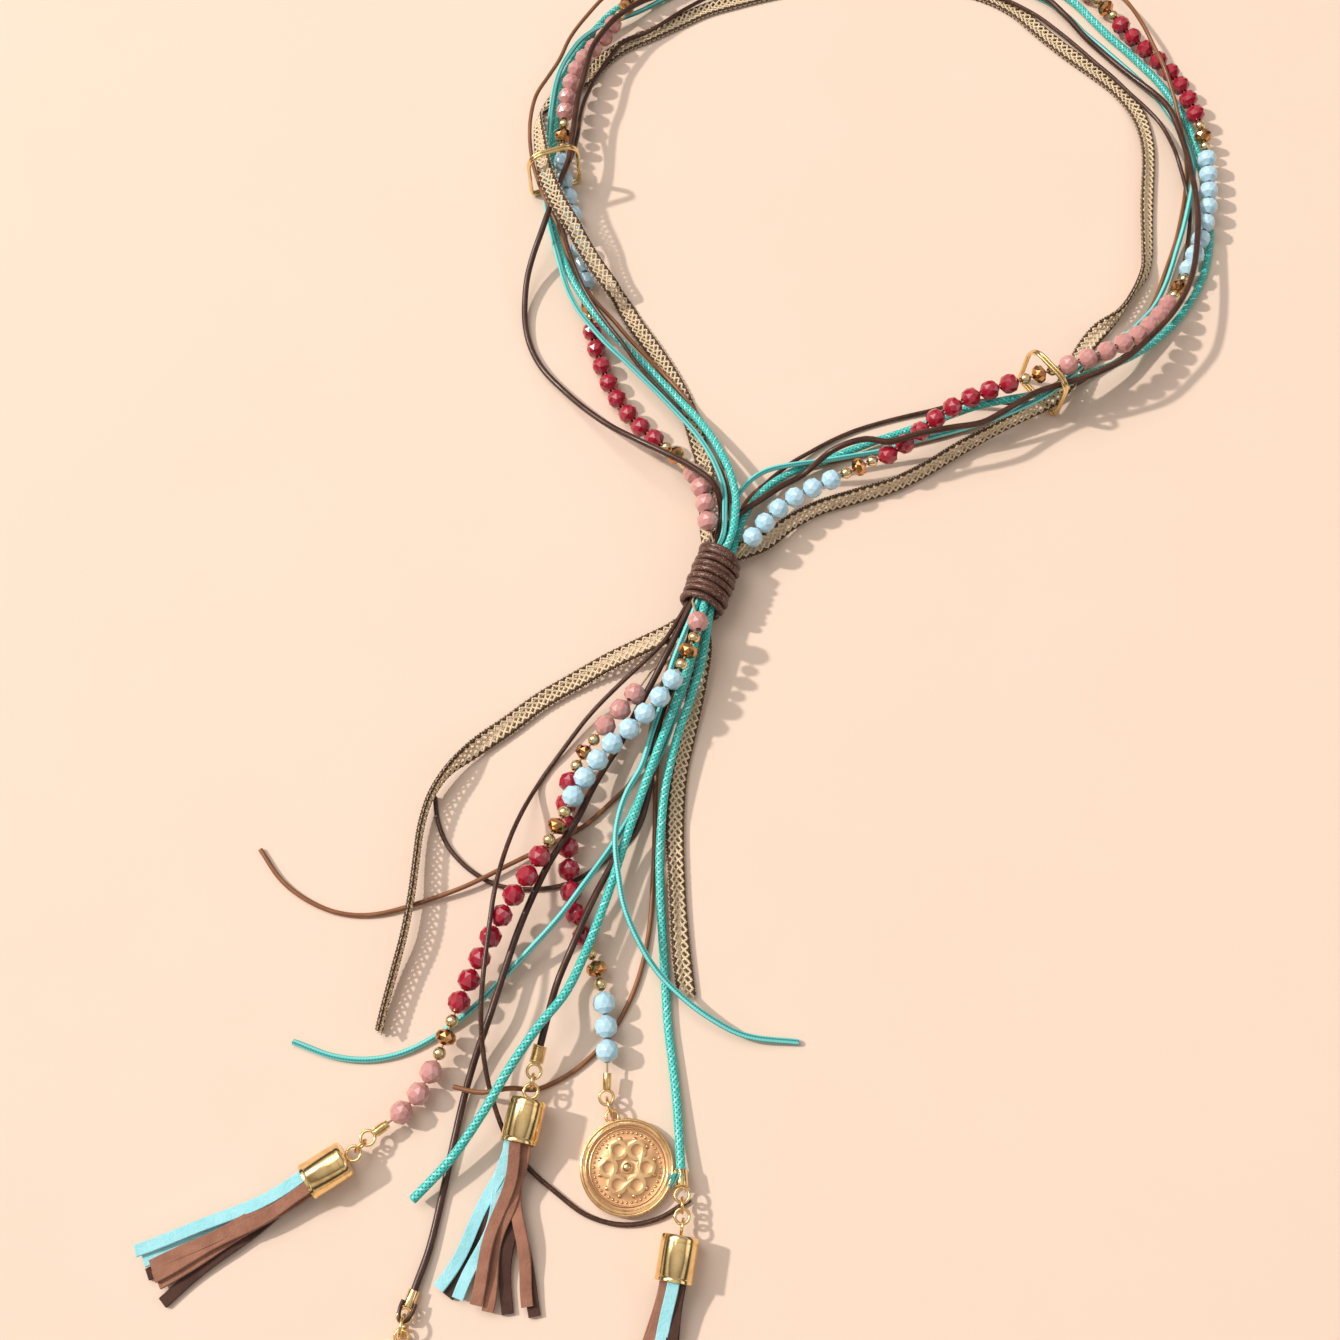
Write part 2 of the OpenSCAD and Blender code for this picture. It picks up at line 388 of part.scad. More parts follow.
// Height that a segment needs over one segment of an earlier strand, or nothing
function over(k, a, b, j, c, d, flat, other) =
  k == 0 && j == 0 && a[5] && c[5] ? 0
  : let(reach = max(a[3], b[3]) + max(c[3], d[3]) + gap)
    max(a[0], b[0]) + reach < min(c[0], d[0]) || min(a[0], b[0]) - reach > max(c[0], d[0]) ? 0
  : max(a[1], b[1]) + reach < min(c[1], d[1]) || min(a[1], b[1]) - reach > max(c[1], d[1]) ? 0
  : let(n = nearest(a, b, c, d), p = n[0])
    p >= reach ? 0
  : let(
      ha = a[4] + (b[4] - a[4]) * n[1],
      he = c[4] + (d[4] - c[4]) * n[2],
      full = ha + he + gap)
    other == "ring" ? c[2] + full
  : c[2] + (d[2] - c[2]) * n[2]
    + full * (flat && p < reach - 4 * gap ? 1 : sqrt(max(0, 1 - pow(p / reach, 2))));

// Height that segment k needs over all earlier strands
function need(k, rows, before, strand) =
  let(a = rows[k], b = rows[k + 1], box = box_of([a, b]))
  max(concat([0], [for (e = before) if (!apart(box, e[3], gap))
    for (j = [0 : len(e[1]) - 2])
      over(k, a, b, j, e[1][j], e[1][j + 1], strand == "braid" || e[2] == "braid", e[2])]));

// How far a strand may drop over a way s
function drop(s) = s < slope * hump ? s * s / (2 * hump) : slope * (s - slope * hump / 2);

function smooth(z, rows) = [for (k = [0 : len(z) - 1])
  rows[k][5] || k == 0 || k == len(z) - 1 ? z[k] : max(z[k], (z[k - 1] + z[k + 1]) / 2 - sag)];

function steps(rows) = [for (k = 1, s = 0; k <= len(rows);
  s = s + (k < len(rows) ? norm([rows[k][0] - rows[k - 1][0], rows[k][1] - rows[k - 1][1]]) : 0),
  k = k + 1) s];

// One run laid over the earlier ones: name, rows, strand, box
function lay(run, before) =
  let(
    strand = run[1],
    rows = concat(end_row(run[2], strand, before), [for (p = run[4]) point_row(p, strand)],
      end_row(run[3], strand, before)),
    n = len(rows),
    needs = [for (k = [0 : n - 2]) need(k, rows, before, strand)],
    base = [for (k = [0 : n - 1]) rows[k][5] ? rows[k][2]
      : max(rows[k][2], k > 0 ? needs[k - 1] : 0, k < n - 1 ? needs[k] : 0)],
    way = steps(rows),
    z = [for (k = [0 : n - 1]) rows[k][5] ? rows[k][2]
      : max([for (j = [0 : n - 1]) j == k ? base[k] : rows[j][5] ? 0 : base[j] - drop(abs(way[j] - way[k]))])],
    even = smooth(smooth(z, rows), rows),
    out = [for (k = [0 : n - 1]) [rows[k][0], rows[k][1], even[k], rows[k][3], rows[k][4], rows[k][5], rows[k][6]]])
  [run[0], out, strand, box_of(out)];

function laid(k) = k == 0 ? [] : let(before = laid(k - 1)) concat(before, [lay(RUNS[k - 1], before)]);

LAID = laid(len(RUNS));

// Rows of a run, from its start or from its end
function rows_of(name, way) =
  let(r = row(LAID, name)[1])
  way > 0 ? r : [for (k = [len(r) - 1 : -1 : 0]) r[k]];

function without_twins(p) = [for (k = [0 : len(p) - 1])
  if (k == 0 || norm([p[k][0] - p[k - 1][0], p[k][1] - p[k - 1][1], p[k][2] - p[k - 1][2]]) > 0.01) p[k]];

// One continuous strand from runs, each with its way
function strand_of(parts) = without_twins([for (p = parts) each rows_of(p[0], p[1])]);

function unit(v) = v / norm(v);
function spot(r) = [r[0], r[1], r[2]];
function heading(p, k) = unit(spot(p[min(k + 1, len(p) - 1)]) - spot(p[max(k - 1, 0)]));

// Tube or band through rows: cross-section points are shares of half width and half height
module sweep(rows, corners, w, h, closed = false) {
  n = len(corners);
  m = len(rows);
  points = [for (k = [0 : m - 1])
    let(
      t = closed ? unit(spot(rows[(k + 1) % m]) - spot(rows[(k + m - 1) % m])) : heading(rows, k),
      side = norm(cross(t, [0, 0, 1])) > 0.01 ? unit(cross(t, [0, 0, 1])) : [1, 0, 0],
      up = cross(side, t),
      turn = len(rows[k]) > 6 ? rows[k][6] : 0,
      across = side * cos(turn) + up * sin(turn),
      thick = up * cos(turn) - side * sin(turn))
    for (c = corners) spot(rows[k]) + across * w * c.x + thick * h * c.y];
  faces = [for (k = [0 : m - (closed ? 1 : 2)]) for (j = [0 : n - 1])
    let(
      a = k * n + j,
      b = k * n + (j + 1) % n,
      c = ((k + 1) % m) * n + (j + 1) % n,
      d = ((k + 1) % m) * n + j)
    each [[a, b, c], [a, c, d]]];
  ends = closed ? [] : [[for (j = [n - 1 : -1 : 0]) j], [for (j = [0 : n - 1]) (m - 1) * n + j]];
  polyhedron(points = points, faces = concat(faces, ends));
}

function around(n) = [for (j = [0 : n - 1]) [cos((j + 0.5) * 360 / n), sin((j + 0.5) * 360 / n)]];
BAND = [[1, -1], [1, 1], [-1, 1], [-1, -1]];

module cord(strand, parts) {
  size = row(SIZES, strand);
  sweep(strand_of(parts), around(cord_sides), size[1], size[2]);
}

module tan_cord() {
  color([0.59, 0.37, 0.24])
    cord("tan", [["T1", -1], ["tanK", 1], ["tanM", 1], ["tanL", -1], ["tanR", -1], ["T2a", 1], ["T2b", 1]]);
}

module dark_cord_thin() {
  color([0.31, 0.22, 0.2])
    cord("dthin", [["D1b", -1], ["D1a", -1], ["dthinK", 1], ["dthinL", 1], ["dthinR", -1], ["D3", 1]]);
}

module dark_cord_thick() {
  color([0.31, 0.22, 0.2])
    cord("dthick", [["D2b", -1], ["D2a", -1], ["dthickS", 1], ["dthick", 1], ["dthickK", -1], ["D4a", 1], ["D4b", 1]]);
}

module turquoise_cord_thin() {
  color([0.43, 0.82, 0.8])
    cord("tthin", [["C3", -1], ["tthinL", 1], ["tthinR", -1], ["C2", 1]]);
}

module turquoise_cord_thick() {
  color([0.25, 0.78, 0.75])
    cord("tthick", [["C1b", -1], ["C1a", -1], ["tthickL", 1], ["tthickR", -1], ["C4", 1]]);
}

module braid_band() {
  color([0.85, 0.76, 0.62])
    sweep(strand_of([["BL", -1], ["braidL", 1], ["braidTop", 1], ["braidR", -1], ["BR", 1]]),
      BAND, braid_w / 2, braid_t / 2);
}

// Groups of the loop, from the knot's left end: colour, how many, pitch as a share of the bead
LOOP_GROUPS = [
  ["pink", 4, 1.03], ["red", 8, 1.095], ["blue", 8, 1.093], ["pink", 8, 1.02], ["red", 8, 1.035],
  ["blue", 8, 1.035], ["pink", 8, 1.035], ["red", 8, 1.073], ["blue", 8, 1.078], ["pink", 8, 1.09],
  ["red", 8, 1.05], ["blue", 6, 1.035]];
// Groups of the two tails, from the knot
TAIL_A_GROUPS = [["pink", 1, 1.03], ["blue", 8, 1.03], ["red", 8, 1.03], ["pink", 3, 1.03]];
TAIL_B_GROUPS = [["pink", 3, 1.03], ["red", 8, 1.03], ["blue", 3, 1.03]];
// Way along each path before its first bead
LOOP_START = 4.2;
TAIL_A_START = 6.3;
TAIL_B_START = 34;
// Free way beside a ball or a rondelle
spacer_gap = 0.4;
path_steps = 4;

// Smooth curve through the rows of a run
function curve(p) = concat([for (k = [0 : len(p) - 2])
  let(
    b = spot(p[k]),
    c = spot(p[k + 1]),
    a = k > 0 ? spot(p[k - 1]) : 2 * b - c,
    d = k < len(p) - 2 ? spot(p[k + 2]) : 2 * c - b)
  for (i = [0 : path_steps - 1]) let(t = i / path_steps)
    0.5 * (2 * b + (c - a) * t + (2 * a - 5 * b + 4 * c - d) * t * t + (3 * b - a - 3 * c + d) * t * t * t)],
  [spot(last(p))]);

// Kinds and lengths of the items on a string: a spacer group stands between two colours
function items(groups) = [for (g = [0 : len(groups) - 1]) each concat(
  g == 0 ? [] : [["ball", ball_d + spacer_gap], ["rondelle", rondelle_l + spacer_gap], ["ball", ball_d + spacer_gap]],
  [for (i = [1 : groups[g][1]]) [groups[g][0], bead_d * groups[g][2]]])];

// Table of way against one coordinate of a path
function table(path, axis) =
  let(way = [for (k = 1, s = 0; k <= len(path);
    s = s + (k < len(path) ? norm(path[k] - path[k - 1]) : 0), k = k + 1) s])
  [for (k = [0 : len(path) - 1]) [way[k], path[k][axis]]];

// Items placed along a path: kind, centre, heading
function strung(path, groups, start, spare) =
  let(
    tx = table(path, 0),
    ty = table(path, 1),
    tz = table(path, 2),
    list = items(groups),
    ends = [for (i = 0, s = start; i < len(list); s = s + list[i][1], i = i + 1) s],
    total = last(tx)[0])
  [for (i = [0 : len(list) - 1])
    let(s = ends[i] + list[i][1] / 2, r = list[i][1] / 2)
    if (s + r < total - spare)
      let(
        a = [lookup(s - r / 2, tx), lookup(s - r / 2, ty), lookup(s - r / 2, tz)],
        b = [lookup(s + r / 2, tx), lookup(s + r / 2, ty), lookup(s + r / 2, tz)])
      [list[i][0], [lookup(s, tx), lookup(s, ty), lookup(s, tz)], unit(b - a)]];

LOOP_PATH = curve(rows_of("beadsLoop", 1));
TAIL_A_PATH = curve(rows_of("A", 1));
TAIL_B_PATH = curve(strand_of([["B0", 1], ["B", 1]]));
LOOP_ITEMS = strung(LOOP_PATH, LOOP_GROUPS, LOOP_START, 0);
TAIL_A_ITEMS = strung(TAIL_A_PATH, TAIL_A_GROUPS, TAIL_A_START, crimp_l);
TAIL_B_ITEMS = strung(TAIL_B_PATH, TAIL_B_GROUPS, TAIL_B_START, crimp_l);

// Turns +Z to a heading at a place
module at(p, d) {
  translate(p) rotate([0, acos(max(-1, min(1, d.z))), atan2(d.y, d.x)]) children();
}

// A round body of diameter d and length l with a bore through it
module drilled(d, l, bore) {
  r = d / 2;
  rb = bore / 2;
  top = min(l / 2, sqrt(r * r - rb * rb));
  n = 8;
  first = acos(top / r) ;
  rotate_extrude($fn = 16) polygon(concat(
    [for (i = [0 : n]) let(a = first + (180 - 2 * first) * i / n) [max(rb, r * sin(a)), r * cos(a)]]));
}

GLASS = [["pink", [0.86, 0.62, 0.61]], ["red", [0.69, 0.1, 0.22]], ["blue", [0.73, 0.87, 0.92]]];

module item(kind) {
  if (kind == "ball") color([0.92, 0.82, 0.6]) drilled(ball_d, ball_d, small_bore);
  else if (kind == "rondelle") color([0.67, 0.45, 0.2]) drilled(rondelle_d, rondelle_l, small_bore);
  else color(row(GLASS, kind)[1]) drilled(bead_d, bead_d, bead_bore);
}

// Each item is turned along the line between its two neighbours
module string(list, before, after) {
  spots = concat([before], [for (i = list) i[1]], [after]);
  for (k = [1 : len(list)]) at(spots[k], unit(spots[k + 1] - spots[k - 1])) item(list[k - 1][0]);
}

half_loop = floor(len(LOOP_ITEMS) / 2);

module bead_string_left() {
  string([for (i = [0 : half_loop - 1]) LOOP_ITEMS[i]], LOOP_PATH[0], LOOP_ITEMS[half_loop][1]);
}

module bead_string_right() {
  string([for (i = [half_loop : len(LOOP_ITEMS) - 1]) LOOP_ITEMS[i]], LOOP_ITEMS[half_loop - 1][1],
    last(LOOP_PATH));
}

module bead_tails() {
  string(TAIL_A_ITEMS, TAIL_A_PATH[0], last(TAIL_A_PATH));
  string(TAIL_B_ITEMS, spot(last(rows_of("B0", 1))), last(TAIL_B_PATH));
}

// The thread goes straight from bead to bead and through the knot
module bead_thread() {
  a = rows_of("A", -1);
  loop = rows_of("beadsLoop", 1);
  b = rows_of("B", -1);
  rows = concat(
    [spot(a[0]), spot(a[1])],
    [for (k = [len(TAIL_A_ITEMS) - 1 : -1 : 0]) TAIL_A_ITEMS[k][1]],
    [spot(last(a)), spot(loop[0])],
    [for (i = LOOP_ITEMS) i[1]],
    [spot(last(loop))],
    [for (r = rows_of("B0", 1)) spot(r)],
    [for (i = TAIL_B_ITEMS) i[1]],
    [spot(b[1]), spot(b[0])]);
  color([0.8, 0.75, 0.65]) sweep(rows, around(thread_sides), thread_d / 2, thread_d / 2);
}

// A sleeve with the turns of a cord round it
module knot_wrap() {
  r = knot_d / 2 - wrap_d / 2;
  bore = knot_d / 2 - wrap_d + 0.1;
  count = floor(knot_l / (wrap_d + 0.1));
  pitch = knot_l / count;
  color([0.4, 0.26, 0.2])
    at([knot_at.x - down.x * knot_l / 2, knot_at.y - down.y * knot_l / 2, knot_z], [down.x, down.y, 0])
      rotate_extrude($fn = 48) difference() {
        union() {
          translate([bore, 0.2]) square([r - bore, knot_l - 0.4]);
          for (i = [0 : count - 1]) translate([r, pitch * (i + 0.5)]) circle(d = wrap_d, $fn = 16);
        }
        translate([0, -1]) square([bore, knot_l + 2]);
      }
}

// Points of an arc in the plane of a ring: centre across and up, radius, from and to angles
function arc(cx, cz, r, from, to, n) = [for (i = [0 : n]) let(a = from + (to - from) * i / n) [cx + r * cos(a), cz + r * sin(a)]];

// A ring that stands round the strands, from its wire on the floor
module stirrup(run, w, h) {
  r = rows_of(run, 1);
  mid = (spot(r[0]) + spot(r[1])) / 2;
  across = unit(spot(r[1]) - spot(r[0]));
  low = 1.6;
  high = 5;
  a = (w + ring_wire) / 2;
  top = h + ring_wire;
  outline = concat(
    arc(-a + low, low, low, 180, 270, 5), arc(a - low, low, low, 270, 360, 5),
    arc(a - high, top - high, high, 0, 90, 7), arc(-a + high, top - high, high, 90, 180, 7));
  points = [for (p = outline) mid + across * p.x + [0, 0, p.y]];
  color([0.9, 0.74, 0.45]) sweep([for (p = points) concat(p, [0, 0, false, 0])],
    around(wire_sides), ring_wire / 2, ring_wire / 2, closed = true);
}

module ring_left() {
  stirrup("ringLlow", left_ring_w, left_ring_h);
}

module ring_right() {
  stirrup("ringRlow", right_ring_w, right_ring_h);
}

// Centre-line radius of the eyes and small links
link_r = 1.8;
jump_r = 2.6;
link_gap = 0.2;
// How far an eye is let into the metal that it is soldered to
solder = 0.15;

// A ring of wire; its plane holds the heading d, and lies flat or upright
module hoop(p, d, flat, r = link_r, wire = link_wire) {
  side = unit(cross(d, [0, 0, 1]));
  axis = flat ? cross(side, d) : side;
  at(p, axis) rotate_extrude($fn = 32) translate([r, 0]) circle(d = wire, $fn = 16);
}

eye_reach = link_r + link_wire / 2 - solder;
// Clearance between a crimp or a head and what it holds
fit_gap = 0.1;
// Closed end of a crimp, and how far it reaches beyond the strand's end
plug_l = 0.6;
crimp_end = plug_l + fit_gap;

// Place of the eye beyond a crimp or a cap
function eye_at(p, d) = p + d * eye_reach;

// A sleeve closed at its far end round a strand's end, with an eye
module crimp(p, d, strand_d, wall = crimp_wall) {
  bore = strand_d / 2 + fit_gap;
  at(p - d * (crimp_l - crimp_end), d)
    rotate_extrude($fn = 32) polygon([[bore, 0], [bore + wall, 0], [bore + wall, crimp_l],
      [0, crimp_l], [0, crimp_l - plug_l], [bore, crimp_l - plug_l]]);
  hoop(crimp_eye(p, d), d, true);
}

// Way from link to link: it clears the wire of the next link and the link after it
link_pitch = 2 * link_r - link_wire - link_gap * 1.5;

// Links between two flat eyes, each turned a quarter from the one before
module chain(a, b, n) {
  for (i = [1 : n]) hoop(a + (b - a) * i / (n + 1), unit(b - a), i % 2 == 0);
}

GOLD = [0.9, 0.74, 0.45];
SUEDE = [["turquoise", [0.59, 0.88, 0.92]], ["brown", [0.63, 0.43, 0.35]], ["dark", [0.33, 0.22, 0.18]]];

// Tassels: run, diameter of its strand, crimp wall, how many links, heading of the links and of the
// cap on the floor, how far the cap is raised because it lies over a cord
thread_crimp_wall = crimp_wall + 0.3;
TASSELS = [
  ["A", thread_d, thread_crimp_wall, 1, -130, -148, 0],
  ["D4b", dark_thick_d, crimp_wall, 1, -97, -102, 2],
  ["C4", turquoise_thick_d, crimp_wall, 2, -90, -99.6, 0]];
// Length of the suede strips beyond the cap
strip_l = 44;
// Strips of each tassel: colour, place across and above the cap's middle as shares of its inner
// radius, end along and across as shares of the strip's length, layer it ends on
STRIPS_1 = [
  ["dark", -0.1, -0.85, 1, 0.05, 0], ["dark", -0.55, -0.55, 0.99, -0.13, 0],
  ["turquoise", 0.85, -0.2, 0.98, 0.12, 1.2], ["brown", -0.85, -0.05, 0.96, -0.03, 1.2],
  ["brown", 0, 0.3, 0.95, 0.07, 2.4], ["brown", -0.6, 0.5, 0.96, 0.01, 2.4],
  ["turquoise", 0.7, 0.4, 0.99, 0.19, 2.4]];
STRIPS_2 = [
  ["dark", -0.6, -0.5, 0.87, -0.3, 0], ["dark", 0, -0.8, 0.89, -0.15, 0],
  ["dark", 0.45, -0.5, 0.87, 0.2, 0], ["turquoise", 0.9, -0.1, 0.84, 0.26, 1.2],
  ["turquoise", 0.7, 0.3, 0.87, 0.14, 1.2], ["brown", -0.1, 0.1, 0.9, -0.04, 1.2],
  ["brown", 0.2, 0.7, 0.88, 0.03, 2.4], ["brown", -0.8, 0.2, 0.83, -0.25, 1.2]];
STRIPS_3 = [
  ["brown", 0.8, -0.2, 0.95, 0.27, 0], ["dark", -0.7, -0.3, 0.97, -0.03, 0],
  ["dark", 0, -0.75, 0.98, 0.08, 0], ["turquoise", 0.4, 0.2, 0.96, 0.18, 1.2],
  ["turquoise", 0, 0.7, 0.97, 0.12, 1.2], ["dark", -0.6, 0.4, 0.95, 0.03, 1.2],
  ["brown", 0.8, 0.25, 0.92, 0.3, 1.2]];
strip_rows = 7;

function cap_heading(i) = [cos(TASSELS[i][5]), sin(TASSELS[i][5]), 0];

// The cap's eye lies a whole number of links from the crimp's eye
function cap_eye(i) =
  let(
    t = TASSELS[i],
    a = crimp_eye(end_of(t[0]), end_heading(t[0])),
    z = cap_d / 2 + lift + t[6],
    way = (t[3] + 1) * link_pitch,
    flat = sqrt(max(0, way * way - pow(z - a.z, 2))))
  [a.x + flat * cos(t[4]), a.y + flat * sin(t[4]), z];
function cap_top(i) = cap_eye(i) + cap_heading(i) * eye_reach;
cap_inner = cap_d / 2 - cap_wall;
cap_roof = 1;
// Length of the sewn head, and how far the strips stay straight beyond the mouth
head_l = 6;
straight_l = 0.6;
// Room for the middle of a strip inside the mouth
room_w = cap_inner - gap - strip_w / 2;
room_t = cap_inner - gap - strip_t / 2;

module cap(i) {
  d = cap_heading(i);
  color(GOLD) {
    at(cap_top(i), d) rotate_extrude($fn = 48) polygon([[0, 0], [cap_d / 2, 0], [cap_d / 2, cap_l],
      [cap_inner, cap_l], [cap_inner, cap_roof], [0, cap_roof]]);
    hoop(cap_eye(i), d, TASSELS[i][3] % 2 == 1);
  }
}

// Place of a strip at share t of its way from the cap's mouth to its end
function strip_row(mouth_at, end, low, d, t) =
  let(
    reach = norm([end.x - mouth_at.x, end.y - mouth_at.y]),
    bend = mouth_at + d * reach * 0.4,
    z = mouth_at.z + (low - mouth_at.z) * (1 - pow(1 - t, 3)))
  [(1 - t) * (1 - t) * mouth_at.x + 2 * t * (1 - t) * bend.x + t * t * end.x,
    (1 - t) * (1 - t) * mouth_at.y + 2 * t * (1 - t) * bend.y + t * t * end.y, z, 0, 0, false, 0];

module strip(i, s) {
  d = cap_heading(i);
  side = cross(d, [0, 0, 1]);
  start = cap_top(i) + side * s[1] * room_w + [0, 0, s[2] * room_t];
  low = strip_t / 2 + lift + s[5] * strip_t;
  in_head = start + d * (cap_roof + head_l / 2);
  mouth_at = start + d * (cap_l + straight_l);
  end = cap_top(i) + d * (cap_l + s[3] * strip_l) + side * s[4] * strip_l;
  color(row(SUEDE, s[0])[1]) sweep(
    concat([concat(in_head, [0, 0, false, 0])],
      [for (k = [0 : strip_rows]) strip_row(mouth_at, end, low, d, k / strip_rows)]),
    BAND, strip_w / 2, strip_t / 2);
}

// The strips are sewn into a round head inside the cap
module fringe(i, strips) {
  d = cap_heading(i);
  color(SUEDE[1][1]) at(cap_top(i) + d * (cap_roof + fit_gap), d)
    cylinder(r = cap_inner - fit_gap * 1.5, h = head_l, $fn = 32);
  for (s = strips) strip(i, s);
}

module tassel_1_cap() { cap(0); }
module tassel_2_cap() { cap(1); }
module tassel_3_cap() { cap(2); }
module tassel_1_fringe() { fringe(0, STRIPS_1); }
module tassel_2_fringe() { fringe(1, STRIPS_2); }
module tassel_3_fringe() { fringe(2, STRIPS_3); }

// End of a run and its heading there
function end_of(name) = spot(last(rows_of(name, 1)));
function end_heading(name) = let(r = rows_of(name, 1)) unit(spot(r[len(r) - 1]) - spot(r[len(r) - 2]));
function crimp_eye(p, d) = eye_at(p + d * crimp_end, d);

// Crimp on a run's end and the links from it to a cap
module cap_links(i) {
  t = TASSELS[i];
  p = end_of(t[0]);
  d = end_heading(t[0]);
  color(GOLD) {
    crimp(p, d, t[1], t[2]);
    chain(crimp_eye(p, d), cap_eye(i), t[3]);
  }
}

module tassel_1_links() { cap_links(0); }
module tassel_2_links() { cap_links(1); }
module tassel_3_links() { cap_links(2); }

// The medallion and the disc: run, diameter of its strand, crimp wall, diameter, thickness, and the
// place on the floor that its middle lies towards
MEDALLION = ["B", thread_d, thread_crimp_wall, medallion_d, medallion_t, [-33.4, -164.9]];
DISC = ["D2b", dark_thick_d, crimp_wall, disc_d, disc_t, [-90.4, -228.4]];
// Centre-line radius of a plate's eye, which is soldered on the rim
plate_eye_r = 1.6;
plate_eye_in = 0.6;
// An upright ring through a crimp's flat eye and a plate's flat eye stands on the floor
jump_z = jump_r + link_wire / 2 + lift;

// How far from the ring's middle, on the floor, its wire has the height h
function jump_drop(h) = sqrt(max(0, pow(jump_r, 2) - pow(h - jump_z, 2)));
function hung_eye(q) = crimp_eye(end_of(q[0]), end_heading(q[0]));
function hung_way(q) = let(e = hung_eye(q)) unit([q[5].x - e.x, q[5].y - e.y, 0]);
function plate_eye_z(q) = lift + q[4] + link_wire / 2 - solder;
function ring_middle(q) = let(e = hung_eye(q)) [e.x, e.y, jump_z] + hung_way(q) * jump_drop(e.z);
function plate_eye(q) =
  let(m = ring_middle(q)) [m.x, m.y, plate_eye_z(q)] + hung_way(q) * jump_drop(plate_eye_z(q));
function plate_middle(q) =
  let(m = plate_eye(q)) [m.x, m.y, lift] + hung_way(q) * (q[3] / 2 - plate_eye_in + plate_eye_r);

// A plate lies on the floor: ring of the rim, a rosette of petals and a small middle
module medallion() {
  rim = 1.6;
  petal_count = 6;
  petal_at = medallion_d * 0.2;
  color([0.9, 0.72, 0.5]) {
    translate(plate_middle(MEDALLION)) {
      cylinder(d = medallion_d, h = medallion_t, $fn = 64);
      translate([0, 0, medallion_t]) linear_extrude(relief_h) {
        difference() {
          circle(d = medallion_d, $fn = 64);
          circle(d = medallion_d - 2 * rim, $fn = 64);
        }
        for (k = [0 : petal_count - 1]) rotate(k * 360 / petal_count) translate([petal_at, 0]) difference() {
          circle(d = petal_at * 1.05, $fn = 24);
          circle(d = petal_at * 0.6, $fn = 24);
        }
        circle(d = petal_at * 0.6, $fn = 24);
      }
    }
    hoop(plate_eye(MEDALLION), [0, 1, 0], true, plate_eye_r);
  }
}

// A pierced plate: rims, a wreath of rings and spokes between them
module pierced_disc() {
  r = disc_d / 2;
  wreath = 12;
  wreath_at = r * 0.72;
  color([0.86, 0.66, 0.38]) {
    translate(plate_middle(DISC)) linear_extrude(disc_t) {
      for (d = [disc_d, disc_d * 0.5, disc_d * 0.2]) difference() {
        circle(d = d, $fn = 64);
        circle(d = d - 2 * disc_bar, $fn = 64);
      }
      for (k = [0 : wreath - 1]) rotate(k * 360 / wreath) {
        translate([wreath_at, 0]) difference() {
          circle(d = r * 0.48, $fn = 24);
          circle(d = r * 0.48 - 2 * disc_bar, $fn = 24);
        }
        translate([disc_d * 0.1 - disc_bar, -disc_bar / 2]) square([disc_d * 0.15 + disc_bar, disc_bar]);
      }
    }
    hoop(plate_eye(DISC), [0, 1, 0], true, plate_eye_r);
  }
}

// Crimp and the jump ring that hangs a plate from it
module plate_links(q) {
  color(GOLD) {
    crimp(end_of(q[0]), end_heading(q[0]), q[1], q[2]);
    hoop(ring_middle(q), hung_way(q), false, jump_r);
  }
}

module medallion_links() { plate_links(MEDALLION); }
module disc_links() { plate_links(DISC); }
braid_band();
bead_string_left();
bead_string_right();
bead_tails();
bead_thread();
turquoise_cord_thick();
turquoise_cord_thin();
dark_cord_thick();
dark_cord_thin();
tan_cord();
knot_wrap();
ring_left();
ring_right();
tassel_1_cap();
tassel_1_fringe();
tassel_1_links();
tassel_2_cap();
tassel_2_fringe();
tassel_2_links();
tassel_3_cap();
tassel_3_fringe();
tassel_3_links();
medallion();
medallion_links();
pierced_disc();
disc_links();
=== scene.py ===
"""Dresses the tassel necklace: beads, cords, braid, knot, rings, tassels, medallion and disc."""

import logging
import math
from collections.abc import Sequence
from dataclasses import dataclass, field
from enum import Enum
from typing import NamedTuple

import bmesh
import bpy
import numpy as np
from mathutils import Matrix, Vector


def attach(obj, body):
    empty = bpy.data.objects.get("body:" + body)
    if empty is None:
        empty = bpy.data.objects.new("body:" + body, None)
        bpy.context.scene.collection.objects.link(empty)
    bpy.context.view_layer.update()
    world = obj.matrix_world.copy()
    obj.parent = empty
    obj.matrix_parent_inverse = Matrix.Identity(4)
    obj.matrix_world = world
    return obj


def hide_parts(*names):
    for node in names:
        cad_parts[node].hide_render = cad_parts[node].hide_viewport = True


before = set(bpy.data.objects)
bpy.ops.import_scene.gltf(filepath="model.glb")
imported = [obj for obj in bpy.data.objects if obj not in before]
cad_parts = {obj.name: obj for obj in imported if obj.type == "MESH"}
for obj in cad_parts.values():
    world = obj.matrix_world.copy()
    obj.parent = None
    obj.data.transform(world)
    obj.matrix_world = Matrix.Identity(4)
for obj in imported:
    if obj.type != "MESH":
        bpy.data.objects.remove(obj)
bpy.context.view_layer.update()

MM = 0.001
Z_UP = np.array([0.0, 0.0, 1.0])
MERGE_M = 1e-6
TWIN_MM = 0.01
FLOOR_LIFT_MM = 0.03
Point = tuple[float, float, float]
Shape = tuple[np.ndarray, list[list[int]]]
log = logging.getLogger("necklace")


class Glass(Enum):
    """Kinds of item on the bead strings, each with its place in a string's material list."""

    PINK = 0
    RED = 1
    BLUE = 2
    RONDELLE = 3
    BALL = 4


class Lie(Enum):
    """How an eye lies: with its plane level or upright."""

    LEVEL = 0
    UPRIGHT = 1


# Materials


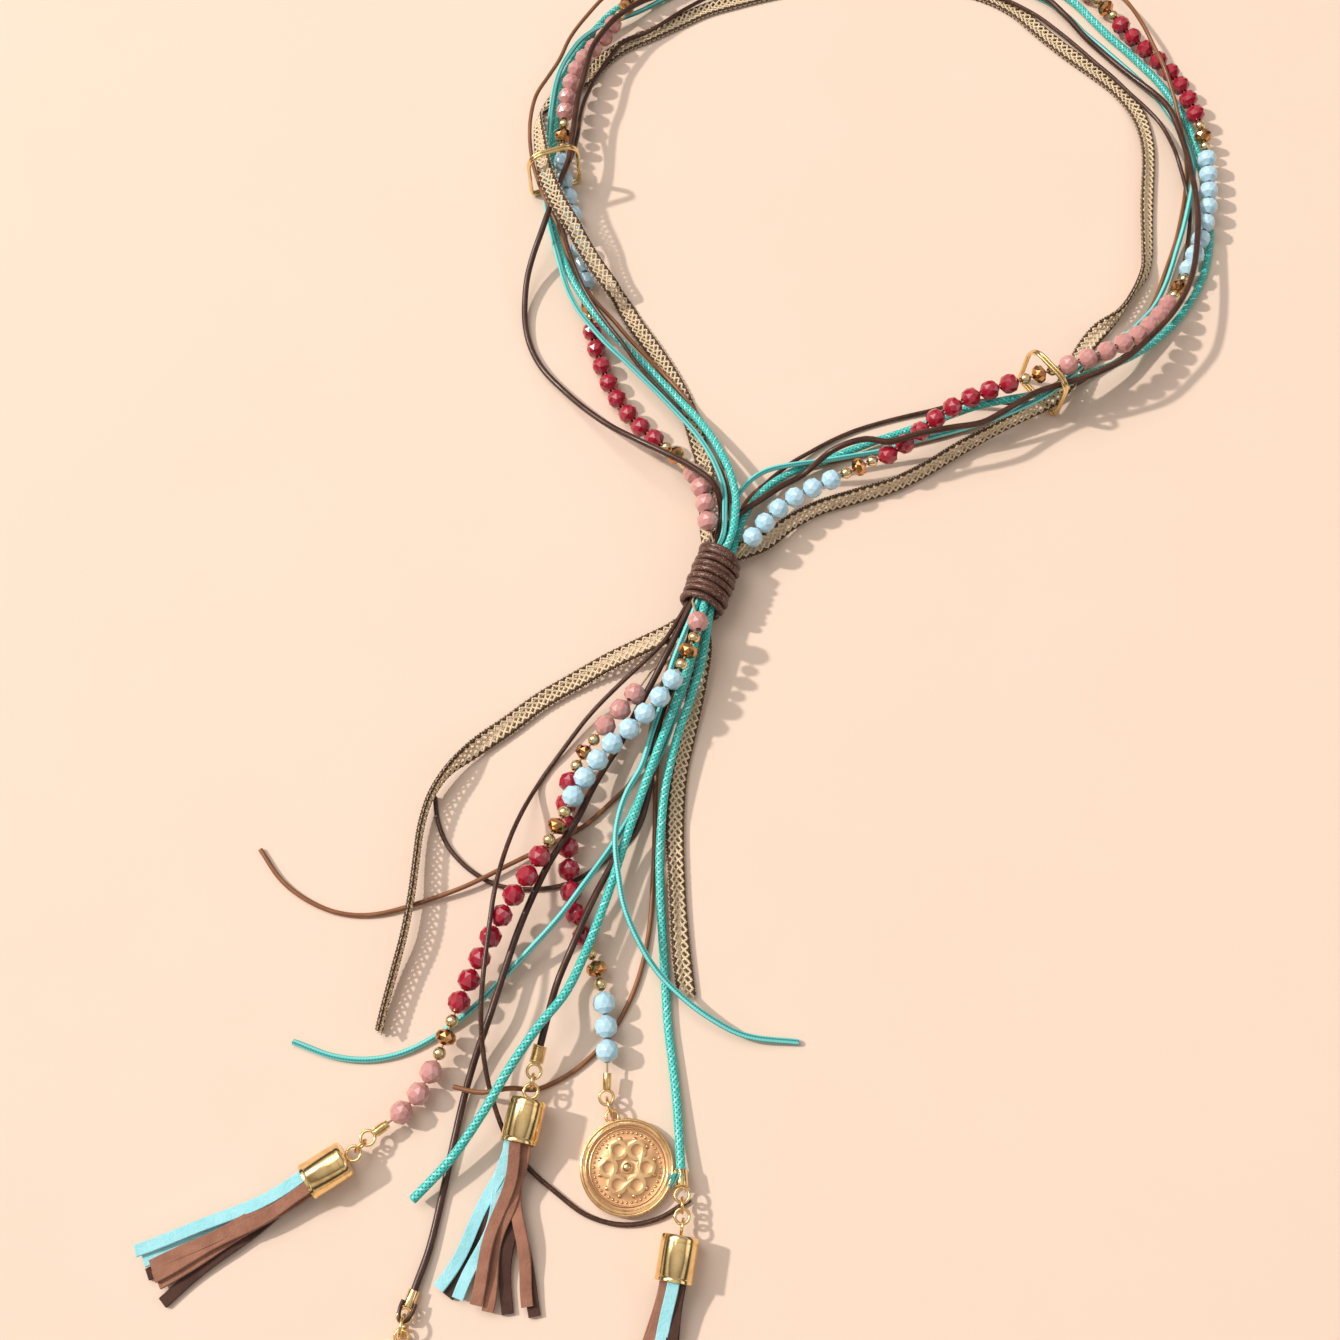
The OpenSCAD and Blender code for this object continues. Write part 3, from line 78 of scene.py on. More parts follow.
class Value:
    """A socket whose arithmetic adds Math nodes."""

    def __init__(self, shade: "Shade", socket: bpy.types.NodeSocket) -> None:
        """Keeps the material and the socket."""
        self.shade = shade
        self.socket = socket

    def maths(self, operation: str, *values: "Value | float") -> "Value":
        """Adds one Math node.

        Args:
            operation: The Math node's operation.
            values: Its inputs in order.

        Returns:
            The node's result.
        """
        return self.shade.node("ShaderNodeMath", {"operation": operation}, dict(enumerate(values)))

    def __add__(self, other: "Value | float") -> "Value":
        """Sum."""
        return self.maths("ADD", self, other)

    __radd__ = __add__

    def __mul__(self, other: "Value | float") -> "Value":
        """Product."""
        return self.maths("MULTIPLY", self, other)

    __rmul__ = __mul__

    def __sub__(self, other: "Value | float") -> "Value":
        """Difference."""
        return self.maths("SUBTRACT", self, other)

    def __rsub__(self, other: "Value | float") -> "Value":
        """Difference with the other first."""
        return self.maths("SUBTRACT", other, self)

    def wave(self) -> "Value":
        """Sine of whole turns."""
        return self.maths("SINE", self * math.tau)

    def size(self) -> "Value":
        """Absolute value."""
        return self.maths("ABSOLUTE", self)

    def top(self, other: "Value | float") -> "Value":
        """The larger of two."""
        return self.maths("MAXIMUM", self, other)

    def rise(self, low: float, high: float) -> "Value":
        """Smooth step from 0 at low to 1 at high."""
        return self.shade.node("ShaderNodeMapRange", {"interpolation_type": "SMOOTHSTEP"}, {
            0: self, 1: low, 2: high, 3: 0.0, 4: 1.0})


class Shade:
    """One material and the nodes in it."""

    def __init__(self, name: str, **constants: float | tuple) -> None:
        """Starts a material.

        Args:
            name: The material's name.
            constants: Principled sockets set to one value, with _ for a space.
        """
        self.material = bpy.data.materials.new(name)
        self.material.use_nodes = True
        self.tree = self.material.node_tree
        self.skin = self.tree.nodes["Principled BSDF"]
        for key, value in constants.items():
            self.skin.inputs[key.replace("_", " ")].default_value = value

    def node(self, kind: str, settings: dict | None = None, sockets: dict | None = None,
             out: int | str = 0) -> Value:
        """Adds any node.

        Args:
            kind: The node's type.
            settings: Attributes that are set first.
            sockets: Values or links by socket.
            out: Which output is wanted.

        Returns:
            The wanted output.
        """
        made = self.tree.nodes.new(kind)
        for key, value in (settings or {}).items():
            setattr(made, key, value)
        for key, value in (sockets or {}).items():
            if isinstance(value, Value):
                self.tree.links.new(value.socket, made.inputs[key])
            else:
                made.inputs[key].default_value = value
        return Value(self, made.outputs[out])

    def place(self) -> Value:
        """Object coordinates."""
        return self.node("ShaderNodeTexCoord", out="Object")

    def part(self, vector: Value, axis: int) -> Value:
        """One coordinate of a vector."""
        return self.node("ShaderNodeSeparateXYZ", None, {0: vector}, axis)

    def along(self) -> tuple[Value, Value]:
        """Share round a strand, and metres along it."""
        uv = self.node("ShaderNodeUVMap", {"uv_map": "UVMap"})
        return self.part(uv, 0), self.part(uv, 1)

    def noise(self, size_mm: float, detail: float = 3.0, vector: Value | None = None) -> Value:
        """Adds noise.

        Args:
            size_mm: Rough width of its blotches.
            detail: How many finer layers it has.
            vector: What it reads in place of Object coordinates.

        Returns:
            Values around 0.5.
        """
        return self.node("ShaderNodeTexNoise", None, {
            "Vector": vector or self.place(), "Scale": 1.0 / (size_mm * MM), "Detail": detail,
            "Roughness": 0.6})

    def blend(self, share: Value, first: "Value | tuple", second: "Value | tuple") -> Value:
        """Mixes two colours.

        Args:
            share: 0 for the first, 1 for the second.
            first: One colour.
            second: The other.

        Returns:
            The mixed colour.
        """
        return self.node("ShaderNodeMix", {"data_type": "RGBA"}, {0: share, 6: first, 7: second}, out=2)

    def feed(self, **values: Value) -> None:
        """Links values to Principled sockets, with _ for a space."""
        for key, value in values.items():
            self.tree.links.new(value.socket, self.skin.inputs[key.replace("_", " ")])

    def relief(self, height: Value, depth_mm: float, strength: float = 1.0) -> None:
        """Feeds a Bump node to Normal.

        Args:
            height: Its height, from 0 to about 1.
            depth_mm: What a height of 1 stands for.
            strength: Share of the bump that shows.
        """
        self.feed(Normal=self.node("ShaderNodeBump", None, {
            "Strength": strength, "Distance": depth_mm * MM, "Height": height}))


def colour(red: float, green: float, blue: float) -> tuple[float, float, float, float]:
    """Turns screen values from 0 to 255 into a linear colour.

    Args:
        red: Red.
        green: Green.
        blue: Blue.

    Returns:
        Linear red, green and blue, and 1 for alpha.
    """
    parts = [v / 255.0 for v in (red, green, blue)]
    return tuple(v / 12.92 if v <= 0.04045 else ((v + 0.055) / 1.055) ** 2.4 for v in parts) + (1.0,)


@dataclass(frozen=True)
class GlassFinish:
    """Opaque pressed glass, fire-polished, a little uneven in colour."""

    name: str
    body: tuple
    deep: tuple
    roughness: float = 0.1
    swirl_mm: float = 2.6
    smear_mm: float = 0.9
    ripple_mm: float = 1.6
    ripple_depth_mm: float = 0.04

    def make(self) -> bpy.types.Material:
        """Builds the material.

        Returns:
            The finished material.
        """
        shade = Shade(self.name, IOR=1.54, Coat_Roughness=0.05, Specular_IOR_Level=0.6)
        swirl = shade.noise(self.swirl_mm, 4.0)
        shade.feed(Base_Color=shade.blend(swirl.rise(0.3, 0.9) * 0.55, self.body, self.deep),
                   Roughness=shade.noise(self.smear_mm) * 0.12 + self.roughness,
                   Coat_Weight=swirl * 0.3 + 0.35)
        shade.relief(shade.noise(self.ripple_mm, 2.0), self.ripple_depth_mm, 0.25)
        return shade.material


@dataclass(frozen=True)
class MetalFinish:
    """Plated metal with soft wear and a fine grain, and on the medallion a matt sunk ground."""

    name: str
    face: tuple
    worn: tuple
    roughness: float
    wear_mm: float = 3.0
    grain_mm: float = 0.5
    grain_depth_mm: float = 0.02
    ground_mm: tuple[float, float] | None = None
    ground: tuple = colour(214, 166, 122)

    def make(self) -> bpy.types.Material:
        """Builds the material.

        Returns:
            The finished material.
        """
        shade = Shade(self.name, Metallic=1.0)
        wear = shade.noise(self.wear_mm, 5.0)
        face = shade.blend(wear.rise(0.45, 0.75), self.face, self.worn)
        rough = wear * 0.14 + self.roughness
        if self.ground_mm:
            raised = shade.part(shade.place(), 2).rise(self.ground_mm[0] * MM, self.ground_mm[1] * MM)
            face = shade.blend(raised, self.ground, face)
            rough = rough + (1 - raised) * 0.2
        shade.feed(Base_Color=face, Roughness=rough)
        shade.relief(shade.noise(self.grain_mm, 4.0), self.grain_depth_mm, 0.6)
        return shade.material


@dataclass(frozen=True)
class LeatherFinish:
    """Round leather cord: smooth, with fine lengthwise creases that are lighter where raised, partly its own
    uneven tone and partly painted sheen, pale flecks and a soft shine.
    """

    name: str
    body: tuple
    # colour of the raised creases: partly the leather's own paler tone, partly painted sheen
    light: tuple
    flecked: float
    roughness: float
    fleck: tuple = colour(214, 190, 168)
    crease_mm: float = 1.0
    round_m: float = 0.004
    drawn_out: float = 0.12
    fleck_mm: float = 0.32
    grain_mm: float = 0.25
    depth_mm: float = 0.06

    def make(self) -> bpy.types.Material:
        """Builds the material.

        Returns:
            The finished material.
        """
        shade = Shade(self.name, Coat_Roughness=0.3, Specular_IOR_Level=0.3)
        around, length = shade.along()
        drawn = shade.node("ShaderNodeCombineXYZ", None, {
            0: around * self.round_m, 1: length * self.drawn_out})
        creases = shade.noise(self.crease_mm, 3.0, drawn)
        # lighter streaks on the raised creases: partly uneven tone, partly painted sheen
        tone_and_sheen = shade.blend(creases.rise(0.35, 0.75), self.body, self.light)
        flecks = shade.noise(self.fleck_mm, 1.0).rise(0.62, 0.7)
        shade.feed(Base_Color=shade.blend(flecks * self.flecked, tone_and_sheen, self.fleck),
                   Roughness=creases * 0.2 + self.roughness,
                   Coat_Weight=creases * 0.2 + 0.03)
        shade.relief(creases + shade.noise(self.grain_mm, 2.0) * 0.5, self.depth_mm, 0.5)
        return shade.material


@dataclass(frozen=True)
class BraidedFinish:
    """Waxed cord braided from fine ends, with painted shade in the grooves and pale dashes of painted
    highlight where the ends cross.
    """

    name: str
    body: tuple
    shadow: tuple
    # colour of the painted highlight on the crests of the ends
    painted_highlight: tuple
    ends: float = 3.0
    lay_mm: float = 2.6
    wax_mm: float = 1.5
    fibre_mm: float = 0.2
    depth_mm: float = 0.22

    def make(self) -> bpy.types.Material:
        """Builds the material.

        Returns:
            The finished material.
        """
        shade = Shade(self.name, Coat_Roughness=0.25)
        around, length = shade.along()
        steps = length * (1.0 / (self.lay_mm * MM))
        one = (steps + around * self.ends).wave()
        two = (steps - around * self.ends).wave()
        height = one.size().top(two.size())
        # painted shade: the grooves between the ends take the shadow colour
        groove = height.rise(0.25, 0.8)
        # painted highlight: pale dashes on the crests of one set of ends, broken up by noise
        highlight_mask = one.rise(0.75, 0.98) * shade.noise(0.9).rise(0.45, 0.6)
        shade.feed(Base_Color=shade.blend(highlight_mask, shade.blend(groove, self.shadow, self.body), self.painted_highlight),
                   Roughness=shade.noise(self.wax_mm) * 0.2 + 0.34,
                   Coat_Weight=groove * 0.25)
        shade.relief(height + shade.noise(self.fibre_mm, 2.0) * 0.25, self.depth_mm, 0.9)
        return shade.material


@dataclass(frozen=True)
class RidgedFinish:
    """Flat cord of rounded ribs with small cross stitches, and painted shade in the hollows between them."""

    name: str
    body: tuple
    shadow: tuple
    ribs: float = 2.0
    stitch_mm: float = 1.5
    wax_mm: float = 1.2
    fibre_mm: float = 0.2
    depth_mm: float = 0.16

    def make(self) -> bpy.types.Material:
        """Builds the material.

        Returns:
            The finished material.
        """
        shade = Shade(self.name, Coat_Roughness=0.3)
        around, length = shade.along()
        ribs = (around * self.ribs).wave().size()
        stitches = (length * (1.0 / (self.stitch_mm * MM)) + ribs * 0.25).wave().size()
        height = ribs * 0.7 + stitches * 0.3
        # painted shade: the hollows between ribs and stitches take the shadow colour
        shade.feed(Base_Color=shade.blend(height.rise(0.35, 0.85), self.shadow, self.body),
                   Roughness=shade.noise(self.wax_mm) * 0.2 + 0.38)
        shade.relief(height + shade.noise(self.fibre_mm, 2.0) * 0.2, self.depth_mm, 0.9)
        return shade.material


@dataclass(frozen=True)
class ThreadFinish:
    """Twisted yarn: fine ends laid at an angle, with painted shade between them and a silky or metallic
    gleam.
    """

    name: str
    body: tuple
    shadow: tuple
    twist_mm: float
    gleam: float = 0.0
    ends: float = 2.0
    mottle_mm: float = 0.8
    depth_mm: float = 0.12

    def make(self) -> bpy.types.Material:
        """Builds the material.

        Returns:
            The finished material.
        """
        shade = Shade(self.name, Specular_IOR_Level=0.5)
        around, length = shade.along()
        ply = (length * (1.0 / (self.twist_mm * MM)) + around * self.ends).wave().size()
        mottle = shade.noise(self.mottle_mm)
        # painted shade: the hollows between the plies take the shadow colour
        shade.feed(Base_Color=shade.blend(ply.rise(0.1, 0.6), self.shadow, self.body),
                   Metallic=mottle.rise(0.4, 0.6) * self.gleam,
                   Roughness=mottle * 0.25 + 0.36)
        shade.relief(ply, self.depth_mm, 0.8)
        return shade.material


@dataclass(frozen=True)
class SuedeFinish:
    """Suede: a matt nap in soft patches, paler where it is brushed."""

    name: str
    body: tuple
    brushed: tuple
    nap_mm: float = 0.7
    patch_mm: float = 4.5
    depth_mm: float = 0.3

    def make(self) -> bpy.types.Material:
        """Builds the material.

        Returns:
            The finished material.
        """
        shade = Shade(self.name, Sheen_Weight=0.15, Sheen_Roughness=0.6, Specular_IOR_Level=0.2)
        nap = shade.noise(self.nap_mm, 5.0)
        patch = shade.noise(self.patch_mm, 4.0)
        shade.feed(Base_Color=shade.blend(patch.rise(0.3, 0.75), self.body, self.brushed),
                   Roughness=nap * 0.15 + 0.8)
        shade.relief(nap, self.depth_mm, 0.9)
        return shade.material


@dataclass(frozen=True)
class FloorFinish:
    """Pale peach paper with a very faint tooth."""

    name: str = "pale_floor"
    body: tuple = colour(229, 204, 185)
    light: tuple = colour(232, 208, 190)
    cloud_mm: float = 60.0
    smear_mm: float = 8.0
    tooth_mm: float = 0.8
    depth_mm: float = 0.02

    def make(self) -> bpy.types.Material:
        """Builds the material.

        Returns:
            The finished material.
        """
        shade = Shade(self.name, Specular_IOR_Level=0.2)
        shade.feed(Base_Color=shade.blend(shade.noise(self.cloud_mm), self.body, self.light),
                   Roughness=shade.noise(self.smear_mm) * 0.1 + 0.65)
        shade.relief(shade.noise(self.tooth_mm), self.depth_mm, 0.3)
        return shade.material


GOLD = MetalFinish("gold_plate", colour(244, 212, 152), colour(226, 182, 118), 0.08)
ROSE_GOLD = MetalFinish(
    "rose_gold_plate", colour(246, 204, 150), colour(216, 158, 104), 0.15, ground_mm=(1.5, 2.0))
PALE_GOLD = MetalFinish("champagne_gold", colour(238, 214, 166), colour(206, 172, 116), 0.19)
BRONZE = MetalFinish("bronze_facets", colour(206, 150, 98), colour(136, 90, 54), 0.08)
PINK_GLASS = GlassFinish("pink_glass", colour(204, 146, 140), colour(180, 114, 110))
RED_GLASS = GlassFinish("red_glass", colour(166, 20, 46), colour(124, 10, 32))
BLUE_GLASS = GlassFinish("blue_glass", colour(186, 222, 238), colour(160, 204, 226))
# each leather's second colour is its lighter creases, partly painted sheen
TAN_LEATHER = LeatherFinish("tan_leather", colour(122, 76, 46), colour(152, 100, 64), 0.0, 0.24)
FLECKED_LEATHER = LeatherFinish("dark_leather_flecked", colour(60, 34, 23), colour(88, 54, 38), 0.25, 0.22)
DARK_LEATHER = LeatherFinish("dark_leather_smooth", colour(58, 32, 22), colour(86, 51, 36), 0.1, 0.2)
KNOT_LEATHER = LeatherFinish("knot_leather", colour(78, 48, 40), colour(108, 70, 56), 0.8, 0.24)
# the knot's filling, darker than its winding: painted shade seen between the turns
KNOT_GAP_SHADE = SuedeFinish("knot_gap_shade", colour(52, 34, 26), colour(70, 46, 34))
# the flat cord's second colour is painted shade between its ribs
AQUA_FLAT = RidgedFinish("aqua_flat_cord", colour(124, 220, 214), colour(36, 138, 138))
# the braided cord's colours: its body, painted shade in its grooves, and painted highlight on its crests
AQUA_BRAIDED = BraidedFinish(
    "aqua_braided_cord", colour(62, 196, 186), colour(20, 112, 108), colour(206, 250, 244))
# each yarn's and thread's second colour is painted shade between its plies
AQUA_FRAY = ThreadFinish("aqua_fray", colour(126, 226, 220), colour(70, 184, 180), 0.6)
GOLD_YARN = ThreadFinish("cream_gold_yarn", colour(250, 228, 190), colour(158, 112, 70), 1.1, 0.1)
DARK_YARN = ThreadFinish("dark_brown_yarn", colour(88, 56, 34), colour(44, 26, 16), 0.8)
CREAM_THREAD = ThreadFinish("cream_thread", colour(206, 176, 138), colour(140, 100, 66), 0.7)
SUEDES = {
    "turquoise": SuedeFinish("suede_turquoise", colour(150, 216, 224), colour(170, 226, 234)),
    "brown": SuedeFinish("suede_brown", colour(146, 98, 78), colour(164, 114, 92)),
    "dark": SuedeFinish("suede_dark", colour(68, 42, 34), colour(84, 54, 44))}


# Lines and meshes


def smooth_line(rows: Sequence[Sequence[float]], step_mm: float) -> np.ndarray:
    """Runs an even curve through rows.

    Args:
        rows: Points in millimetres, with any further columns.
        step_mm: Way between the curve's points.

    Returns:
        The curve's rows, in millimetres.
    """
    shares = np.linspace(0, 1, 16, endpoint=False)
    p = np.array([list(r) for r in rows], float)
    p = np.vstack([2 * p[0] - p[1], p, 2 * p[-1] - p[-2]])
    fine = []
    for a, b, c, d in zip(p, p[1:], p[2:], p[3:]):
        for t in shares:
            fine.append(0.5 * (2 * b + (c - a) * t + (2 * a - 5 * b + 4 * c - d) * t * t
                               + (3 * b - a - 3 * c + d) * t ** 3))
    fine.append(p[-2])
    fine = np.array(fine)
    way = np.concatenate([[0], np.cumsum(np.linalg.norm(np.diff(fine[:, :3], axis=0), axis=1))])
    at = np.linspace(0, way[-1], max(2, round(way[-1] / step_mm)) + 1)
    return np.stack([np.interp(at, way, fine[:, k]) for k in range(fine.shape[1])], axis=1)


def unit(v: np.ndarray) -> np.ndarray:
    """Makes vectors one long."""
    return v / np.maximum(np.linalg.norm(v, axis=-1, keepdims=True), 1e-12)


def spoke(angle: float) -> np.ndarray:
    """Level direction at an angle in radians."""
    return np.array([math.cos(angle), math.sin(angle), 0.0])


def rested(line: np.ndarray, radius: float, lift: float = FLOOR_LIFT_MM) -> np.ndarray:
    """Lifts the parts of a line that would sink its tube into the floor.

    Args:
        line: The line in millimetres, which is changed.
        radius: The tube's radius.
        lift: Gap to the floor.

    Returns:
        The same line.
    """
    line[:, 2] = np.maximum(line[:, 2], radius + lift)
    return line


def frames(line: np.ndarray, turn: np.ndarray | None = None) -> tuple[np.ndarray, np.ndarray, np.ndarray]:
    """Finds which way each point of a line faces.

    Args:
        line: The line's points.
        turn: Angle round the line at each point, in radians.

    Returns:
        Heading, side and upward direction at each point.
    """
    ahead = unit(np.gradient(line, axis=0))
    side = np.cross(ahead, Z_UP)
    side[np.linalg.norm(side, axis=1) < 0.05] = np.array([1.0, 0.0, 0.0])
    side = unit(side)
    up = np.cross(side, ahead)
    if turn is not None:
        c, s = np.cos(turn)[:, None], np.sin(turn)[:, None]
        side, up = side * c + up * s, up * c - side * s
    return ahead, side, up


class MeshPot:
    """Collects vertices, faces, their material and UVs, and pours them into one object."""

    def __init__(self, name: str) -> None:
        """Starts empty.

        Args:
            name: The piece's name.
        """
        self.name = name
        self.points: list[np.ndarray] = []
        self.faces: list[list[int]] = []
        self.slots: list[int] = []
        self.soft: list[int] = []
        self.uvs: list[list[tuple[float, float]]] = []
        self.count = 0

    def face(self, corners: list[int], uvs: list[tuple[float, float]], slot: int) -> None:
        """Adds one face.

        Args:
            corners: Its vertices.
            uvs: Their places in the UV map.
            slot: The material's place.
        """
        self.faces.append(corners)
        self.uvs.append(uvs)
        self.slots.append(slot)

    def tube(self, line: np.ndarray, radius: float | np.ndarray, section: int | Sequence[tuple[float, float]],
             slot: int = 0, turn: np.ndarray | None = None) -> None:
        """Adds a tube along a line in millimetres.

        Args:
            line: The centre points.
            radius: Radius or scale, one for all points or one each.
            section: How many sides a round tube has, or the cross-section's points.
            slot: The material's place.
            turn: Angle of the cross-section at each point, in radians.
        """
        if isinstance(section, int):
            angles = [math.tau * (j + 0.5) / section for j in range(section)]
            section = [(math.cos(a), math.sin(a)) for a in angles]
        ring = np.array(section)
        m, n = len(line), len(ring)
        _, side, up = frames(line, turn)
        size = np.broadcast_to(np.asarray(radius, float), (m,))[:, None, None]
        reach = ring[None, :, :1] * side[:, None, :] + ring[None, :, 1:] * up[:, None, :]
        start = self.count
        self.points.append((line[:, None, :] + size * reach).reshape(-1, 3))
        self.count += m * n
        way = np.concatenate([[0], np.cumsum(np.linalg.norm(np.diff(line, axis=0), axis=1))]) * MM
        for k in range(m - 1):
            here, there = start + k * n, start + (k + 1) * n
            low, high = way[k], way[k + 1]
            for j in range(n):
                after = (j + 1) % n
                u, v = j / n, (j + 1) / n
                self.face([here + after, there + after, there + j, here + j],
                          [(v, low), (v, high), (u, high), (u, low)], slot)
        self.face([start + j for j in range(n)], [(0.5, way[0])] * n, slot)
        self.face([start + m * n - 1 - j for j in range(n)], [(0.5, way[-1])] * n, slot)

    def stamp(self, shape: Shape, matrix: np.ndarray | Matrix, slot: int = 0, soft: bool = True) -> None:
        """Adds a copy of a ready shape.

        Args:
            shape: Its points in millimetres and its faces.
            matrix: Where the copy goes, as 4 by 4 numbers.
            slot: The material's place.
            soft: Whether it is shaded smooth where the pot isn't smoothed by angle.
        """
        matrix = np.array(matrix)
        start = self.count
        self.points.append(shape[0] @ matrix[:3, :3].T + matrix[:3, 3])
        self.count += len(shape[0])
        for corners in shape[1]:
            if soft:
                self.soft.append(len(self.faces))
            self.face([start + i for i in corners], [(0.0, 0.0)] * len(corners), slot)

    def pour(self, finishes: Sequence[bpy.types.Material], smooth_deg: float = 80.0) -> bpy.types.Object:
        """Makes the object, in metres and at the origin.

        Args:
            finishes: Its materials in slot order.
            smooth_deg: Edges sharper than this stay sharp; at 0 only the soft shapes are smooth.

        Returns:
            The object.
        """
        mesh = bpy.data.meshes.new(self.name)
        mesh.from_pydata((np.vstack(self.points) * MM).tolist(), [], self.faces)
        layer = mesh.uv_layers.new(name="UVMap")
        layer.data.foreach_set("uv", [x for uvs in self.uvs for uv in uvs for x in uv])
        for finish in finishes:
            mesh.materials.append(finish)
        mesh.polygons.foreach_set("material_index", self.slots)
        mesh.update()
        thing = linked(self.name, mesh)
        if smooth_deg > 0:
            only(thing)
            bpy.ops.object.shade_smooth_by_angle(angle=math.radians(smooth_deg))
        else:
            for k in self.soft:
                mesh.polygons[k].use_smooth = True
        return thing


def linked(name: str, data: bpy.types.ID) -> bpy.types.Object:
    """Makes an object of some data and puts it in the scene.

    Args:
        name: Its name.
        data: A mesh, a lamp or a camera.

    Returns:
        The object.
    """
    thing = bpy.data.objects.new(name, data)
    bpy.context.scene.collection.objects.link(thing)
    return thing


def only(thing: bpy.types.Object) -> None:
    """Selects one object and makes it active.

    Args:
        thing: The object.
    """
    bpy.ops.object.select_all(action="DESELECT")
    thing.select_set(True)
    bpy.context.view_layer.objects.active = thing


def shape_of(thing: bpy.types.Object) -> Shape:
    """Takes a template's points and faces, and removes the template.

    Args:
        thing: The template.

    Returns:
        Its points and its faces.
    """
    points = np.array([tuple(v.co) for v in thing.data.vertices])
    faces = [list(f.vertices) for f in thing.data.polygons]
    bpy.data.objects.remove(thing, do_unlink=True)
    return points, faces


def dress(thing: bpy.types.Object, slot: str, *nodes: str) -> bpy.types.Object:
    """Rides a piece on the necklace, hides the CAD nodes that it replaces, and reports it.

    Args:
        thing: The piece.
        slot: Its material slot; not used.
        nodes: CAD nodes that it replaces.

    Returns:
        The piece.
    """
    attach(thing, "root")
    if nodes:
        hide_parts(*nodes)
    log.info("%s: %d faces", thing.name, len(thing.data.polygons))
    return thing


def placed(place: np.ndarray, axis: np.ndarray = Z_UP, scale: float | Point = 1.0) -> Matrix:
    """Works out where a copy of a shape goes.

    Args:
        place: Where its origin goes.
        axis: Where its +Z points.
        scale: Its scale, before it is turned.

    Returns:
        The 4 by 4 matrix.
    """
    turn = Vector((0, 0, 1)).rotation_difference(Vector(axis)).to_matrix().to_4x4()
    size = Matrix.Diagonal((*np.broadcast_to(scale, 3), 1.0))
    return Matrix.Translation(Vector(place)) @ turn @ size


def spun(profile: Sequence[tuple[float, float]], steps: int) -> Shape:
    """Spins a profile round +Z.

    Args:
        profile: Radius and height of each point, starting and ending on the axis.
        steps: How many steps the spin has.

    Returns:
        The shape's points and faces.
    """
    mesh = bpy.data.meshes.new("profile")
    mesh.from_pydata([(r, 0, h) for r, h in profile], [(k, k + 1) for k in range(len(profile) - 1)], [])
    thing = linked("profile", mesh)
    only(thing)
    bpy.ops.object.mode_set(mode="EDIT")
    bpy.ops.mesh.select_all(action="SELECT")
    bpy.ops.mesh.spin(steps=steps, angle=math.tau, center=(0, 0, 0), axis=(0, 0, 1))
    bpy.ops.mesh.select_all(action="SELECT")
    bpy.ops.mesh.remove_doubles(threshold=1e-4)
    bpy.ops.mesh.normals_make_consistent(inside=False)
    bpy.ops.object.mode_set(mode="OBJECT")
    return shape_of(thing)


def hoop_shape(radius: float, wire: float) -> Shape:
    """Makes a round wire ring about +Z from a torus primitive.

    Args:
        radius: Radius of the wire's middle.
        wire: The wire's diameter.

    Returns:
        Its points and its faces.
    """
    bpy.ops.object.select_all(action="DESELECT")
    bpy.ops.mesh.primitive_torus_add(
        major_radius=radius, minor_radius=wire / 2, major_segments=36, minor_segments=12)
    return shape_of(bpy.context.active_object)


def grain_shape() -> Shape:
    """Makes a ball of radius 1 with few faces.

    Returns:
        Its points and its faces.
    """
    bpy.ops.object.select_all(action="DESELECT")
    bpy.ops.mesh.primitive_uv_sphere_add(segments=10, ring_count=6, radius=1.0)
    return shape_of(bpy.context.active_object)


# Half width and half height of each strand in millimetres
HALF_SIZES: dict[str, tuple[float, float]] = {
    "tan": (0.65, 0.65), "dthin": (0.65, 0.65), "dthick": (0.95, 0.95), "tthin": (0.8, 0.8),
    "tthick": (1.2, 1.2), "beads": (3.0, 3.0), "braid": (3.0, 0.7), "ring": (0.5, 0.5), "thread": (0.3, 0.3),
}

# Place of each strand in the knot in millimetres: across its axis, and above it
SLOTS: dict[str, tuple[float, float]] = {
    "T1": (-1.9, -3.9), "T2": (1.9, -3.9), "D3": (0, -4), "BR": (0, -2.45), "BL": (0, -0.95),
    "D1": (-4.25, 0.45), "D2": (-2.9, 1.75), "D4": (-1.05, 1.15), "C2": (0.75, 0.75), "C4": (2.85, 1.15),
    "B": (4.4, 1.4), "C1": (0.95, 3.5), "C3": (-1.25, 3), "A": (-2.5, 3.9), "B0": (3.2, -3.5),
}

